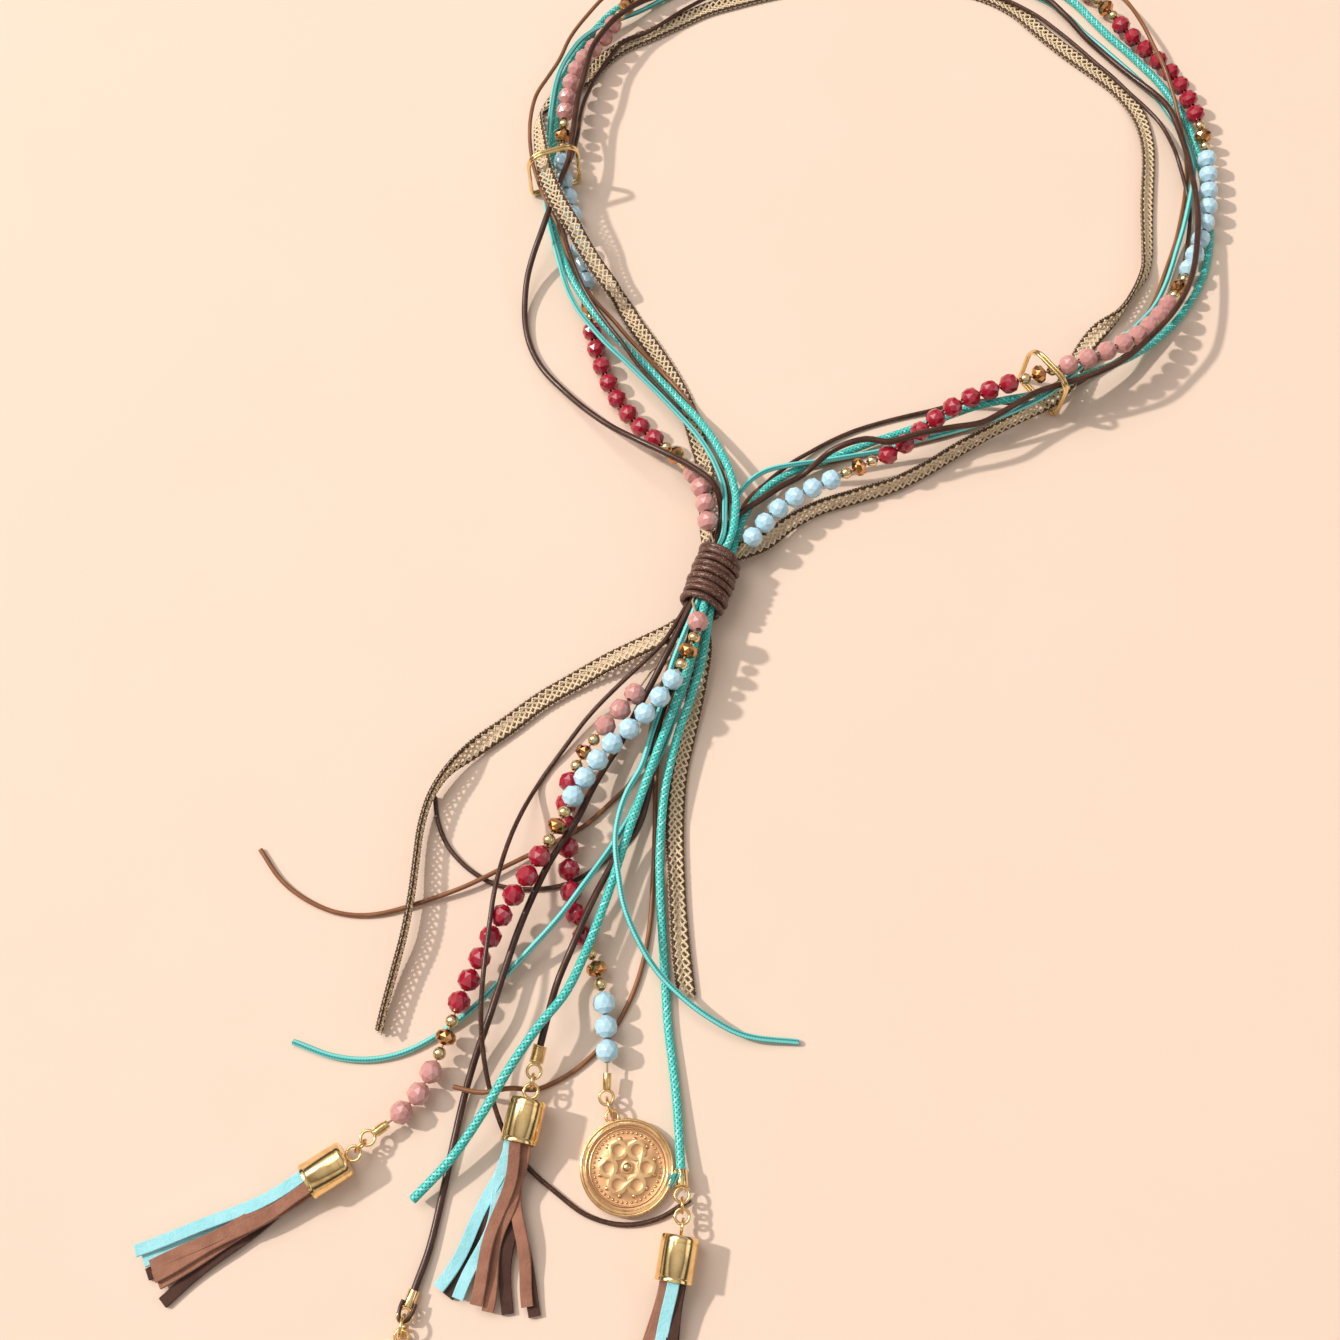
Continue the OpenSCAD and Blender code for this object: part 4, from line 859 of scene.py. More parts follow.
# Runs, lowest first: name, strand, start, end, points with a braid's turn from flat or a cord's lift
RUNS: list[tuple] = [
    ("B0", "thread", ("low", "B0"), (), (
        (-12.2, -21.7), (-19, -25.8), (-27, -31.1, 2.5))),
    ("D3", "dthin", ("low", "D3"), (), (
        (-19.5, -28.1), (-24, -39.7), (-26.5, -50), (-27, -58.8), (-28, -66.9), (-30.5, -75.1),
        (-35, -82), (-42.1, -88.5), (-50.2, -93.1), (-59.2, -94.5), (-68.3, -93.6), (-76.3, -89.4),
        (-82.7, -82.9), (-86.1, -75.6), (-87.4, -68.3))),
    ("T1", "tan", ("low", "T1"), (), (
        (-21.5, -28.3), (-25.4, -39.8), (-27.4, -49.5), (-28.4, -56.6), (-33, -64.4), (-39, -70.6),
        (-46, -77), (-55, -82.2), (-65.5, -87.9), (-77.1, -93.9), (-89.4, -98.3), (-101.6, -101.5),
        (-111.7, -101), (-120.7, -97.3), (-128.1, -91.7), (-134.4, -83.4))),
    ("T2a", "tan", ("low", "T2"), (), (
        (-17.8, -28.4), (-22, -40.3), (-25, -52.6), (-26, -65.2), (-26.2, -77.9), (-26.6, -90.8),
        (-27.3, -102.8), (-29.1, -114), (-32.6, -124.4), (-38.3, -134.3), (-46.5, -142.3),
        (-55.7, -147.1))),
    ("BR", "braid", ("low", "BR"), (), (
        (-13.1, -19.5, 0), (-12.7, -25.8, 0), (-14, -34.6, 10), (-15.6, -43, 20), (-17.4, -51.7, 30),
        (-19.3, -60.6, 30), (-20.4, -70.5, 20), (-20.7, -80.6, 20), (-20.3, -90.8, 30), (-19.8, -101, 30),
        (-19, -112, 20), (-17.7, -123.3, 20))),
    ("BL", "braid", ("low", "BL"), (), (
        (-21, -20.3, 0), (-29.8, -24.4, 0), (-39.3, -28.6, 0), (-48.8, -33.9, 0), (-58.7, -40.1, 0),
        (-67.7, -47.5, 10), (-76.6, -54.7, 40), (-83.4, -61.6, 80), (-88, -69.3, 90), (-90.2, -78.2, 90),
        (-90.9, -87.4, 90), (-91.5, -97.7, 90), (-92.8, -107.9, 90), (-95, -117.8, 90),
        (-96.8, -126.2, 90), (-98, -132.7, 90))),
    ("D2a", "dthick", ("low", "D2"), (), (
        (-22, -26.2), (-26.9, -35.7), (-31.4, -44.2), (-35.9, -53.5), (-39.9, -60.5, 1.5),
        (-43.5, -67.7, 4.5))),
    ("D1a", "dthin", ("low", "D1"), (), (
        (-23, -23.3), (-28.8, -29.8), (-36.7, -36.8), (-44.7, -44.8), (-51.8, -54.4), (-58.4, -64.2))),
    ("B", "beads", ("run", "B0"), (), (
        (-31.3, -39.9), (-36.2, -45.7), (-40.7, -50.6), (-45.7, -57.2), (-49.4, -64.3), (-50.5, -72.5),
        (-49.9, -81.6), (-49.4, -90.2), (-47.9, -99.5), (-45, -108.1), (-41.5, -116.5), (-39.2, -126),
        (-38.4, -135.4), (-38.1, -142.4), (-38.2, -146.9))),
    ("C4", "tthick", ("low", "C4"), (), (
        (-12.3, -26.7), (-14.2, -34.6), (-16.6, -42.5), (-19.3, -50.2), (-21.5, -58.5), (-23.3, -67.3),
        (-24.3, -76.6), (-24.8, -86.4), (-24.6, -97.2), (-24, -108.1), (-23.3, -119.3), (-22.6, -130.5),
        (-21.3, -141), (-20.2, -151.5), (-19.5, -162, 1.6), (-19.1, -170.6, 2.8))),
    ("C2", "tthin", ("low", "C2"), (), (
        (-15.5, -29.9), (-19.6, -43.1), (-24, -55.6), (-28.9, -65.8), (-33.4, -75.7), (-38.8, -85.4),
        (-44.7, -94.6), (-51.2, -103.7), (-58.9, -111.8), (-66.3, -119.2), (-74.1, -126.9),
        (-82.5, -133.3), (-91.2, -137.9), (-100.4, -139.8), (-110, -138.9), (-120.6, -135.2))),
    ("D4a", "dthick", ("low", "D4"), (), (
        (-18.1, -29.8), (-23.5, -42.9), (-26.4, -55.5), (-27.7, -67.2), (-30.4, -77.9), (-35.4, -85.2),
        (-39.9, -93.6), (-43.8, -102.1), (-47.9, -112.2), (-51.6, -121))),
    ("C1a", "tthick", ("low", "C1"), (), (
        (-16.5, -31.4), (-20.8, -44.5), (-25.4, -57.2), (-29.8, -70.1), (-33.8, -82.2), (-37.3, -93.9),
        (-40.8, -104.3), (-44.3, -113.5))),
    ("C3", "tthin", ("low", "C3"), (), (
        (-21, -30.5), (-23.9, -41.7), (-27.1, -52.2), (-29.8, -61.5), (-33.8, -69.3), (-36, -76.8),
        (-36.7, -84.3), (-35.7, -93.3), (-34.1, -101.4), (-30.9, -109.1), (-26, -117), (-19.5, -123.7),
        (-11.4, -129.7), (-1.8, -134), (11.6, -135.3))),
    ("D2b", "dthick", ("run", "D2a"), (), (
        (-46.8, -76.5), (-50.8, -83.2), (-54.5, -89.5), (-58.7, -98.2), (-62.4, -107.5), (-65.6, -117.8),
        (-68.7, -128.7), (-72.1, -138.7), (-75, -149.4), (-77.3, -161.3), (-79.6, -174.3),
        (-81.8, -185.4), (-84.2, -193, 0.5), (-86, -198.5, 0.9))),
    ("A", "beads", ("low", "A"), (), (
        (-15.2, -18), (-14.1, -22.3), (-16.7, -29.2), (-20.1, -36.4), (-25.4, -44.1), (-31.7, -50.7),
        (-38.6, -57), (-44, -64.2), (-48.4, -71.9), (-51.9, -79.2), (-55.9, -86.8), (-60.4, -94.5),
        (-65.1, -101.3), (-68.9, -108.6), (-73.2, -117.1), (-77, -125.8), (-79.7, -133.7),
        (-82.7, -141.6), (-86.7, -149.1), (-92.7, -155.3, 0.5), (-96.4, -158, 1))),
    ("D1b", "dthin", ("run", "D1a"), (), (
        (-62.6, -74.6), (-65.7, -84.8), (-68, -96.3), (-69.3, -108.1), (-70.2, -119.9), (-70.6, -129.6),
        (-70, -138.5), (-67.9, -148.5), (-63.7, -159.2), (-57.8, -166.7), (-50.8, -172.5), (-42.8, -178),
        (-33.8, -180.2), (-25.1, -178.8), (-16.9, -174.2))),
    ("T2b", "tan", ("run", "T2a"), (), (
        (-62.7, -147.6), (-70.3, -148.7), (-77.5, -147.1))),
    ("D4b", "dthick", ("run", "D4a"), (), (
        (-53.7, -130.3, 4), (-55.3, -136.9, 5.2), (-56.2, -140.8, 5.8))),
    ("C1b", "tthick", ("run", "C1a"), (), (
        (-48.9, -124.1), (-55.8, -132.8), (-62.6, -142.7), (-69.4, -154.1), (-77.2, -165),
        (-86.4, -174.4))),
    ("ringLlow", "ring", (), (), (
        (-65.7, 139.5), (-53.6, 143.9))),
    ("ringRlow", "ring", (), (), (
        (87.9, 66.9), (96.1, 55.6))),
    ("tanR", "tan", ("top", "T2"), (), (
        (-3.3, 8.1), (-2.6, 14.7), (0.6, 23.7), (6.3, 30), (14.1, 34.3), (22.8, 36.9), (32.5, 39.3),
        (43.1, 41.9), (53.8, 44.7), (64.4, 47.9), (73.9, 51.7), (83.2, 56.6), (91.9, 61.7), (101.7, 67.4),
        (111.8, 74.7), (120.3, 80.9), (127.3, 88.1), (132.2, 96), (135.7, 104), (138.6, 110.9),
        (141.7, 118.5), (144.4, 126.7), (147.4, 137.8), (149.5, 149.2))),
    ("tanK", "tan", ("top", "T1"), (), (
        (-4.9, 14.3), (-3.9, 25))),
    ("braidL", "braid", ("top", "BL"), (), (
        (-10.4, 9.5, 40), (-11.6, 18.7, 60), (-10.6, 27.8, 40), (-11.3, 36, 20), (-13.3, 44.4, 10),
        (-15.7, 53.7, 0), (-19.1, 62.7, 0), (-23.3, 71.2, 0), (-27.8, 79.2, 0), (-32.5, 86.8, 0),
        (-36.8, 94.7, 0))),
    ("tanM", "tan", ("run", "tanK"), (), (
        (-5.2, 33.8), (-7.5, 41.4), (-10.9, 48.8), (-15.3, 56.5), (-20.1, 63.4), (-25.1, 69.7))),
    ("dthinR", "dthin", ("top", "D3"), (), (
        (-5.1, 8.7), (1.4, 19.5), (5.7, 28.3), (13.9, 36.1), (20.7, 41.1), (28, 45.7), (35.2, 49.2),
        (43, 51.9), (50.7, 54.1), (58.8, 56), (66.8, 57.8), (75.1, 58.1), (83.3, 57.1), (91.6, 58.1),
        (101.9, 63.5), (111.5, 70), (121.5, 76.8), (129.9, 85.4), (136, 94.2), (140.5, 102.7),
        (143.9, 111.4), (146.1, 120.2), (147.5, 128.6), (147.8, 137.5))),
    ("braidR", "braid", ("top", "BR"), (), (
        (5.2, 9, 30), (13.5, 15.8, 50), (22.2, 21, 60), (33.3, 24.9, 60), (44.9, 28.8, 60),
        (55.4, 34.4, 60), (65.4, 40.8, 60), (76.3, 47, 70), (86.7, 52.3, 60), (95.3, 57.8, 15),
        (102, 66, 0), (106.5, 74.9, 0), (112, 82.6, 20), (119.4, 89.7, 80), (124.8, 97.7, 90),
        (129.7, 106, 60), (131.7, 114.2, 40), (132.7, 122.9, 35), (133.8, 132.1, 30), (135.1, 141, 30),
        (136.4, 149.9, 30), (137.2, 159.1, 20), (136.4, 168.4, 10), (133.8, 176.7, 0), (129.1, 184, 0),
        (122.8, 190.7, 0), (116.5, 197, 0), (110.6, 203.3, 0), (104.8, 210.2, 0), (98.2, 217.9, 0),
        (87.8, 224.9, 0), (73, 229.8, 0), (56.3, 232.1, 0), (39.8, 231.5, 0), (25, 228.9, 0),
        (12.1, 225.5, 0), (1.1, 222, 0), (-10, 217.9, 0), (-20.1, 211.9, 0), (-29.4, 206.5, 0),
        (-37.8, 201.8, 0), (-44.3, 195.9, 0), (-49.9, 188.3, 0), (-56.1, 182.4, 0), (-61.7, 176.5, 30),
        (-65.2, 169.1, 60))),
    ("tthickR", "tthick", ("top", "C4"), (), (
        (-2.2, 10.4), (0.8, 18.7), (6.1, 26), (13.4, 32), (22.6, 36.2), (32.3, 40.6), (40.1, 44),
        (48.5, 47), (56.5, 49.4), (63.9, 51.4), (71.1, 52.8), (78.8, 53.9), (86.6, 55.5), (93.6, 58.3),
        (101.1, 61.9), (108.6, 65.7), (116.1, 69.9), (123.7, 75.1), (130.9, 81.1), (137, 87.2),
        (142, 93.5), (146.3, 100.2), (149.5, 106.9), (151.8, 114.3), (153.5, 122.6), (154.1, 130.8),
        (154.5, 139), (154.2, 148), (153.5, 156.9), (152.3, 165), (150.3, 172.6), (147, 179.8),
        (143.6, 186.6), (139.3, 192.9), (134.8, 199.2), (129.8, 205.5), (124.8, 212.8), (119.1, 221),
        (111.5, 228), (98, 234.3), (82.2, 239.5), (63.7, 243), (43.4, 244), (22.2, 243), (3.8, 239.8),
        (-11.8, 235.2), (-23.8, 229.1), (-33.1, 223.7), (-41.5, 217.1), (-47.3, 209.5), (-51.3, 202.6),
        (-54.5, 195.4), (-56.9, 187.3), (-58.9, 179.9), (-59.6, 171.9), (-60.2, 163.5), (-60.7, 155.8),
        (-61.1, 148.5), (-61.4, 140.5), (-61.1, 132.7), (-60, 125.5), (-58.1, 118.5))),
    ("dthickK", "dthick", ("top", "D4"), (), (
        (-6.4, 8.3), (-5, 12.5), (-1, 17), (4.4, 20.9), (10.8, 26), (18.1, 31.4))),
    ("tthinR", "tthin", ("top", "C2"), (), (
        (-4.7, 7.6), (-4, 12), (-3.1, 18.9), (1.1, 26.7), (7.2, 31.8), (15.6, 34.2), (24.1, 35.6),
        (32.7, 37.4), (41.3, 39.1), (50, 41.2), (59.6, 43.2), (69.6, 45.8), (79.3, 49.1), (90.9, 54.5),
        (99, 61.2), (107.9, 69.4), (117.5, 77.1), (125, 85), (131, 92.4), (135.5, 100.4), (138.7, 107.8),
        (141.5, 115.4), (143.9, 122), (146.3, 129.7), (148.4, 137), (150.5, 146), (150.9, 153.8),
        (150.1, 160.8), (148, 167.7), (144.9, 175.4), (141, 182.4), (136.5, 188.7), (131.5, 195.1),
        (126.6, 201.4), (121.7, 207.3), (116.4, 215.1), (109.2, 222.3), (97.1, 229.1), (82.2, 234.6),
        (63.7, 238.4), (43.4, 239.5), (22.2, 238.4), (3.8, 235.2), (-11.9, 229.8), (-22.9, 223.3),
        (-32.1, 216.5), (-41.3, 210.2), (-48.3, 205.1), (-52.9, 199.6), (-56.2, 192.7), (-58.6, 185.6),
        (-60.3, 178.7), (-61.2, 171.3), (-61.8, 164.1), (-62.2, 156.2), (-62.7, 148.6), (-63, 140.7),
        (-62.5, 133.2), (-61.3, 125.5), (-59.7, 118.5))),
    ("dthinK", "dthin", ("top", "D1"), (), (
        (-9.7, 8.8), (-6.6, 13), (-4.9, 21), (-6.1, 29.5), (-9.5, 37.5), (-14.1, 45.9))),
    ("dthickS", "dthick", ("top", "D2"), (), (
        (-8, 8.5), (-7, 16.2))),
    ("beadsLoop", "beads", ("top", "A"), ("top", "B"), (
        (-10.9, 9), (-11.5, 14.8), (-12.4, 21.5), (-15.6, 29.7), (-21, 36.9), (-27.1, 43.4),
        (-32.8, 50.2), (-37.6, 57.5), (-41.2, 65.3), (-44.1, 73.8), (-46.4, 83), (-47.5, 92.2),
        (-48.5, 101.4), (-50, 110.5), (-51.8, 119.5), (-53.4, 127.4), (-55.2, 134.9), (-56.6, 141.6),
        (-57.4, 148.7), (-57.2, 156.7), (-56.8, 165.8), (-55.8, 174.8), (-53.6, 183.7), (-50, 191.9),
        (-45.3, 198.7), (-41.2, 206), (-35.7, 215.4), (-27, 226.2), (-15.6, 235), (-0.9, 241),
        (15.6, 244.7), (33, 246.1), (50.4, 246.4), (67, 246.8), (82.7, 244.3), (98.4, 239.9),
        (111.9, 233.5), (122.8, 224.5), (129.5, 215.4), (133.7, 206.7), (138, 200), (142.8, 193.7),
        (147.2, 186.8), (150.3, 179.1), (152.6, 171.1), (154.2, 162), (154.6, 152.7), (154.2, 143.6),
        (153.2, 135.1), (151.6, 126.1), (148.6, 117.6), (145.3, 110.3), (141.1, 101.7), (135.9, 93.2),
        (129.3, 83.9), (121.1, 75.1), (111.6, 68.7), (102.3, 64.7), (92.9, 61.2), (84.2, 58.6),
        (75.8, 56), (67, 52.3), (58.5, 47.2), (51.4, 41.2), (44.4, 35.7), (36.4, 32.3), (28.1, 28.2),
        (19.4, 23.9), (11.6, 19), (5.4, 12.2), (0.9, 6.4))),
    ("tanL", "tan", ("run", "tanR"), ("run", "tanM"), (
        (148.5, 154.7), (148.1, 161.9), (147.4, 169.6), (146.1, 177.4), (144.2, 185.3), (141.9, 194),
        (139.2, 204), (135.5, 216), (129.7, 227.6), (120.9, 236.1), (108.7, 243), (94.6, 246.5),
        (78.7, 248.2), (60.9, 246.6), (42.6, 246.5), (24.4, 245.1), (8, 242), (-7.5, 237), (-21.1, 230.3),
        (-32.9, 222.6), (-43.1, 216.5), (-51.1, 208.4), (-56.2, 201), (-59.5, 192.9), (-63, 184.3),
        (-66.6, 175.1), (-68.2, 166.3), (-68.4, 157.5), (-67, 147.2), (-64.4, 137.9), (-61.6, 130.2),
        (-58.7, 123.6), (-56.7, 117.2), (-54.5, 110), (-51.9, 102.7), (-48.5, 96.4), (-44.1, 90.4),
        (-39.6, 85.6), (-35.2, 80.3), (-30.3, 74.9))),
    ("tthickL", "tthick", ("top", "C1"), ("run", "tthickR"), (
        (-3.7, 9.3), (-2.7, 19), (-4.3, 28.1), (-7.1, 36.2), (-10.5, 44.3), (-14.7, 51.5), (-19.5, 58.2),
        (-24.7, 64.5), (-29.8, 70.4), (-35.1, 75.4), (-40, 80.4), (-44.6, 86), (-48.8, 92.3),
        (-52.4, 98.9), (-55.2, 105.7))),
    ("dthinL", "dthin", ("run", "dthinK"), ("run", "dthinR"), (
        (-20.1, 54.3), (-26.8, 62.4), (-32.2, 68.7), (-36.6, 75.1), (-41.3, 81.8), (-45.9, 89.2),
        (-49.8, 97.1), (-52.9, 106), (-55.5, 115.5), (-57.6, 124.6), (-58.6, 132.1), (-57.2, 139.4),
        (-54.2, 146.9), (-52.5, 155.5), (-52, 164.8), (-51.2, 172.7), (-49.4, 180), (-46.5, 187.8),
        (-42.6, 195.5), (-37.8, 202.4), (-29.2, 206.9), (-16.5, 217.1), (-2.8, 225.6), (13.8, 230.7),
        (31.3, 233.1), (49.6, 233.1), (68, 231.2), (82.8, 227.3), (94.9, 221.3), (104.8, 214.3),
        (111.7, 207.2), (117.5, 200.4), (123.1, 193.3), (128.5, 186.6), (133.4, 179.7), (138.4, 173),
        (142.2, 166.2), (144.2, 158.1), (145.2, 149.3))),
    ("dthick", "dthick", ("run", "dthickS"), ("run", "dthickK"), (
        (-9, 21.9), (-15.4, 27.8), (-23.4, 33.2), (-32, 39.2), (-40, 46), (-47.8, 53.8), (-55.1, 62.4),
        (-61.4, 70.2), (-65.5, 78.3), (-67.6, 86.2), (-68.1, 94.1), (-67.5, 102.5), (-65.7, 109.8),
        (-63.1, 116.8), (-61, 123.6), (-59, 130.7), (-56.8, 137.8), (-54.9, 144.5), (-54, 152.6),
        (-53.3, 161.8), (-52.5, 170), (-50.8, 178.2), (-48.4, 190.4), (-44.5, 198.4), (-39.7, 205.3),
        (-31.5, 212.1), (-19.3, 220.2), (-4.6, 229), (12.9, 235.7), (31.4, 238.9), (50, 239.8),
        (68.5, 238), (84.3, 233.9), (97.6, 228.7), (108.2, 222.3), (115, 213.7), (120.8, 205.4),
        (126.3, 198.7), (131.2, 192.2), (136.2, 185.5), (141, 178.3), (144.6, 170.3), (146.7, 161.4),
        (147.9, 151.8), (148.3, 141.9), (147.9, 131.2), (147, 121.5), (145.1, 111.8), (142.5, 102),
        (138.5, 92.2), (132.3, 82.3), (124.5, 73.4), (115.1, 64.9), (104.7, 60), (96.3, 57.5),
        (88.1, 54.7), (79.3, 49.1), (71.1, 44.1), (61.7, 41.7), (52.4, 39.7), (43, 36.7), (35.4, 37.9),
        (26.3, 35.3))),
    ("tthinL", "tthin", ("top", "C3"), ("run", "tthinR"), (
        (-6.5, 7.5), (-6, 15.1), (-6.2, 22.6), (-8.2, 30.8), (-11.3, 38.7), (-15.4, 45.8), (-20.4, 52.3),
        (-25.4, 58.3), (-30.6, 64.2), (-35.7, 70), (-40.9, 75.5), (-45.7, 81.5), (-50.1, 87.6),
        (-53.4, 93.9), (-55.6, 100.2), (-57.4, 107.2))),
    ("braidTop", "braid", ("run", "braidL"), ("run", "braidR"), (
        (-40.8, 98.1, 0), (-45.8, 105.2, 0), (-49.8, 111.8, 0), (-53.3, 118.1, 0), (-56.7, 123.8, 10),
        (-59.8, 130.8, 20), (-62.3, 138.6, 30), (-64.2, 150.5, 40), (-65.2, 160.5, 60))),
]

# Runs that make each route, and the way through them: 1 from the start, -1 from the end
ROUTES: dict[str, tuple[tuple[str, int], ...]] = {
    "tan/a": (("T1", 1),),
    "tan/loop": (("tanK", 1), ("tanM", 1), ("tanL", -1), ("tanR", -1)),
    "tan/b": (("T2a", 1), ("T2b", 1)),
    "dark_thin/a": (("D1a", 1), ("D1b", 1)),
    "dark_thin/loop": (("dthinK", 1), ("dthinL", 1), ("dthinR", -1)),
    "dark_thin/b": (("D3", 1),),
    "dark_thick/a": (("D2a", 1), ("D2b", 1)),
    "dark_thick/loop": (("dthickS", 1), ("dthick", 1), ("dthickK", -1)),
    "dark_thick/b": (("D4a", 1), ("D4b", 1)),
    "turquoise_thin/a": (("C3", 1),),
    "turquoise_thin/loop": (("tthinL", 1), ("tthinR", -1)),
    "turquoise_thin/b": (("C2", 1),),
    "turquoise_thick/a": (("C1a", 1), ("C1b", 1)),
    "turquoise_thick/loop": (("tthickL", 1), ("tthickR", -1)),
    "turquoise_thick/b": (("C4", 1),),
    "braid/a": (("BL", 1),),
    "braid/loop": (("braidL", 1), ("braidTop", 1), ("braidR", -1)),
    "braid/b": (("BR", 1),),
    "beads/loop": (("beadsLoop", 1),),
    "beads/a": (("A", 1),),
    "beads/b0": (("B0", 1),),
    "beads/b": (("B", 1),),
}


class Row(NamedTuple):
    """One section of a laid run: its place, its half sizes, whether it is fixed, and its turn."""

    x: float
    y: float
    z: float
    half_w: float
    half_h: float
    fixed: bool
    turn: float


def foot(p: Row, c: Row, d: Row) -> tuple[float, float]:
    """Finds the place on a segment that is nearest to a row, in plan.

    Args:
        p: The row.
        c: Start of the segment.
        d: Its end.

    Returns:
        The distance, and the place's share along the segment.
    """
    u, v = d.x - c.x, d.y - c.y
    share = min(1.0, max(0.0, ((p.x - c.x) * u + (p.y - c.y) * v) / (u * u + v * v)))
    return math.hypot(p.x - c.x - share * u, p.y - c.y - share * v), share


def nearest(a: Row, b: Row, c: Row, d: Row) -> tuple[float, float, float]:
    """Finds where two segments are nearest, in plan.

    Args:
        a: Start of the first.
        b: End of the first.
        c: Start of the second.
        d: End of the second.

    Returns:
        Their distance, and the share along each.
    """
    ux, uy, vx, vy = b.x - a.x, b.y - a.y, d.x - c.x, d.y - c.y
    wx, wy = a.x - c.x, a.y - c.y
    den = ux * vy - uy * vx
    if den != 0:
        s, t = (vx * wy - vy * wx) / den, (ux * wy - uy * wx) / den
        if 0 <= s <= 1 and 0 <= t <= 1:
            return 0.0, s, t
    options = []
    for share, spot in enumerate((a, b)):
        way, other = foot(spot, c, d)
        options.append((way, share, other))
    for share, spot in enumerate((c, d)):
        way, other = foot(spot, a, b)
        options.append((way, other, share))
    return min(options, key=lambda option: option[0])


@dataclass
class Laying:
    """Lays the runs over each other, lowest first, with the rules that the CAD has."""

    gap: float = 0.2
    slope: float = 0.36
    hump: float = 22.0
    lift: float = 0.05
    sag: float = 0.15
    smoothings: int = 2
    flat_edge: float = 0.8
    knot_at: tuple[float, float] = (-10.0, -5.0)
    knot_turn_deg: float = -19.5
    knot_z: float = 6.9
    mouth: float = 9.6
    done: dict[str, tuple[str, list[Row]]] = field(default_factory=dict)

    def lay_all(self) -> dict[str, tuple[str, list[Row]]]:
        """Lays every run.

        Returns:
            The strand and the rows of each run, by name.
        """
        for name, strand, start, stop, points in RUNS:
            rows = [*self.end_row(start, strand), *(self.point_row(p, strand) for p in points),
                    *self.end_row(stop, strand)]
            heights = self.settle(self.raised(rows, strand), rows)
            self.done[name] = strand, [row._replace(z=z) for row, z in zip(rows, heights)]
        return self.done

    def half_of(self, strand: str, turn: float) -> tuple[float, float]:
        """Works out a strand's half width and half height.

        Args:
            strand: Its name.
            turn: How far it is turned from flat, in degrees.

        Returns:
            The half width and the half height.
        """
        w, h = HALF_SIZES[strand]
        c, s = abs(math.cos(math.radians(turn))), abs(math.sin(math.radians(turn)))
        return (c * w + s * h, s * w + c * h) if strand == "braid" else (w, h)

    def end_row(self, end: tuple[str, ...], strand: str) -> list[Row]:
        """Finds the fixed row that a run starts or ends with.

        Args:
            end: The knot's mouth and the slot in it, or a run that this one goes on from, or nothing.
            strand: The strand's name.

        Returns:
            The row, or nothing.
        """
        if not end:
            return []
        kind, key = end
        if kind == "run":
            return [self.done[key][1][-1]._replace(fixed=True)]
        turn = math.radians(self.knot_turn_deg)
        way = self.mouth if kind == "low" else -self.mouth
        across, up = SLOTS[key]
        return [Row(self.knot_at[0] + way * math.sin(turn) + across * math.cos(turn),
                    self.knot_at[1] - way * math.cos(turn) + across * math.sin(turn),
                    self.knot_z + up, *self.half_of("thread" if strand == "beads" else strand, 0), True, 0)]

    def point_row(self, point: tuple[float, ...], strand: str) -> Row:
        """Makes the row of a chosen point, which lies on the floor.

        Args:
            point: Its place, with a braid's turn from flat or a cord's lift off the floor.
            strand: The strand's name.

        Returns:
            The row.
        """
        extra = point[2] if len(point) > 2 else 0
        turn, rise = (extra, 0) if strand == "braid" else (0, extra)
        half_w, half_h = self.half_of(strand, turn)
        return Row(*point[:2], half_h + self.lift + rise, half_w, half_h, False, turn)

    def over(self, a: Row, b: Row, c: Row, d: Row, kinds: tuple[str, str]) -> float:
        """Works out the height that a segment needs over one of an earlier run.

        Args:
            a: Start of the segment.
            b: Its end.
            c: Start of the earlier one.
            d: Its end.
            kinds: The strands of both.

        Returns:
            The height, or 0 where they don't meet.
        """
        reach = max(a.half_w, b.half_w) + max(c.half_w, d.half_w) + self.gap
        if (max(a.x, b.x) + reach < min(c.x, d.x) or min(a.x, b.x) - reach > max(c.x, d.x)
                or max(a.y, b.y) + reach < min(c.y, d.y) or min(a.y, b.y) - reach > max(c.y, d.y)):
            return 0.0
        way, s, t = nearest(a, b, c, d)
        if way >= reach:
            return 0.0
        full = a.half_h + (b.half_h - a.half_h) * s + c.half_h + (d.half_h - c.half_h) * t + self.gap
        if kinds[1] == "ring":
            return c.z + full
        flat = "braid" in kinds and way < reach - self.flat_edge
        return c.z + (d.z - c.z) * t + full * (1 if flat else math.sqrt(max(0.0, 1 - (way / reach) ** 2)))

    def raised(self, rows: list[Row], strand: str) -> list[float]:
        """Raises each row over the runs that it crosses.

        Args:
            rows: The run's rows.
            strand: Its strand.

        Returns:
            The rows' heights.
        """
        heights = [row.z for row in rows]
        for other, laid in self.done.values():
            for k in range(len(rows) - 1):
                for j in range(len(laid) - 1):
                    if k == 0 and j == 0 and rows[0].fixed and laid[0].fixed:
                        continue
                    need = self.over(rows[k], rows[k + 1], laid[j], laid[j + 1], (strand, other))
                    for m in (k, k + 1):
                        if not rows[m].fixed:
                            heights[m] = max(heights[m], need)
        return heights

    def drop(self, way: float) -> float:
        """Says how far a strand may drop over a way."""
        bend = self.slope * self.hump
        return way * way / (2 * self.hump) if way < bend else self.slope * (way - bend / 2)

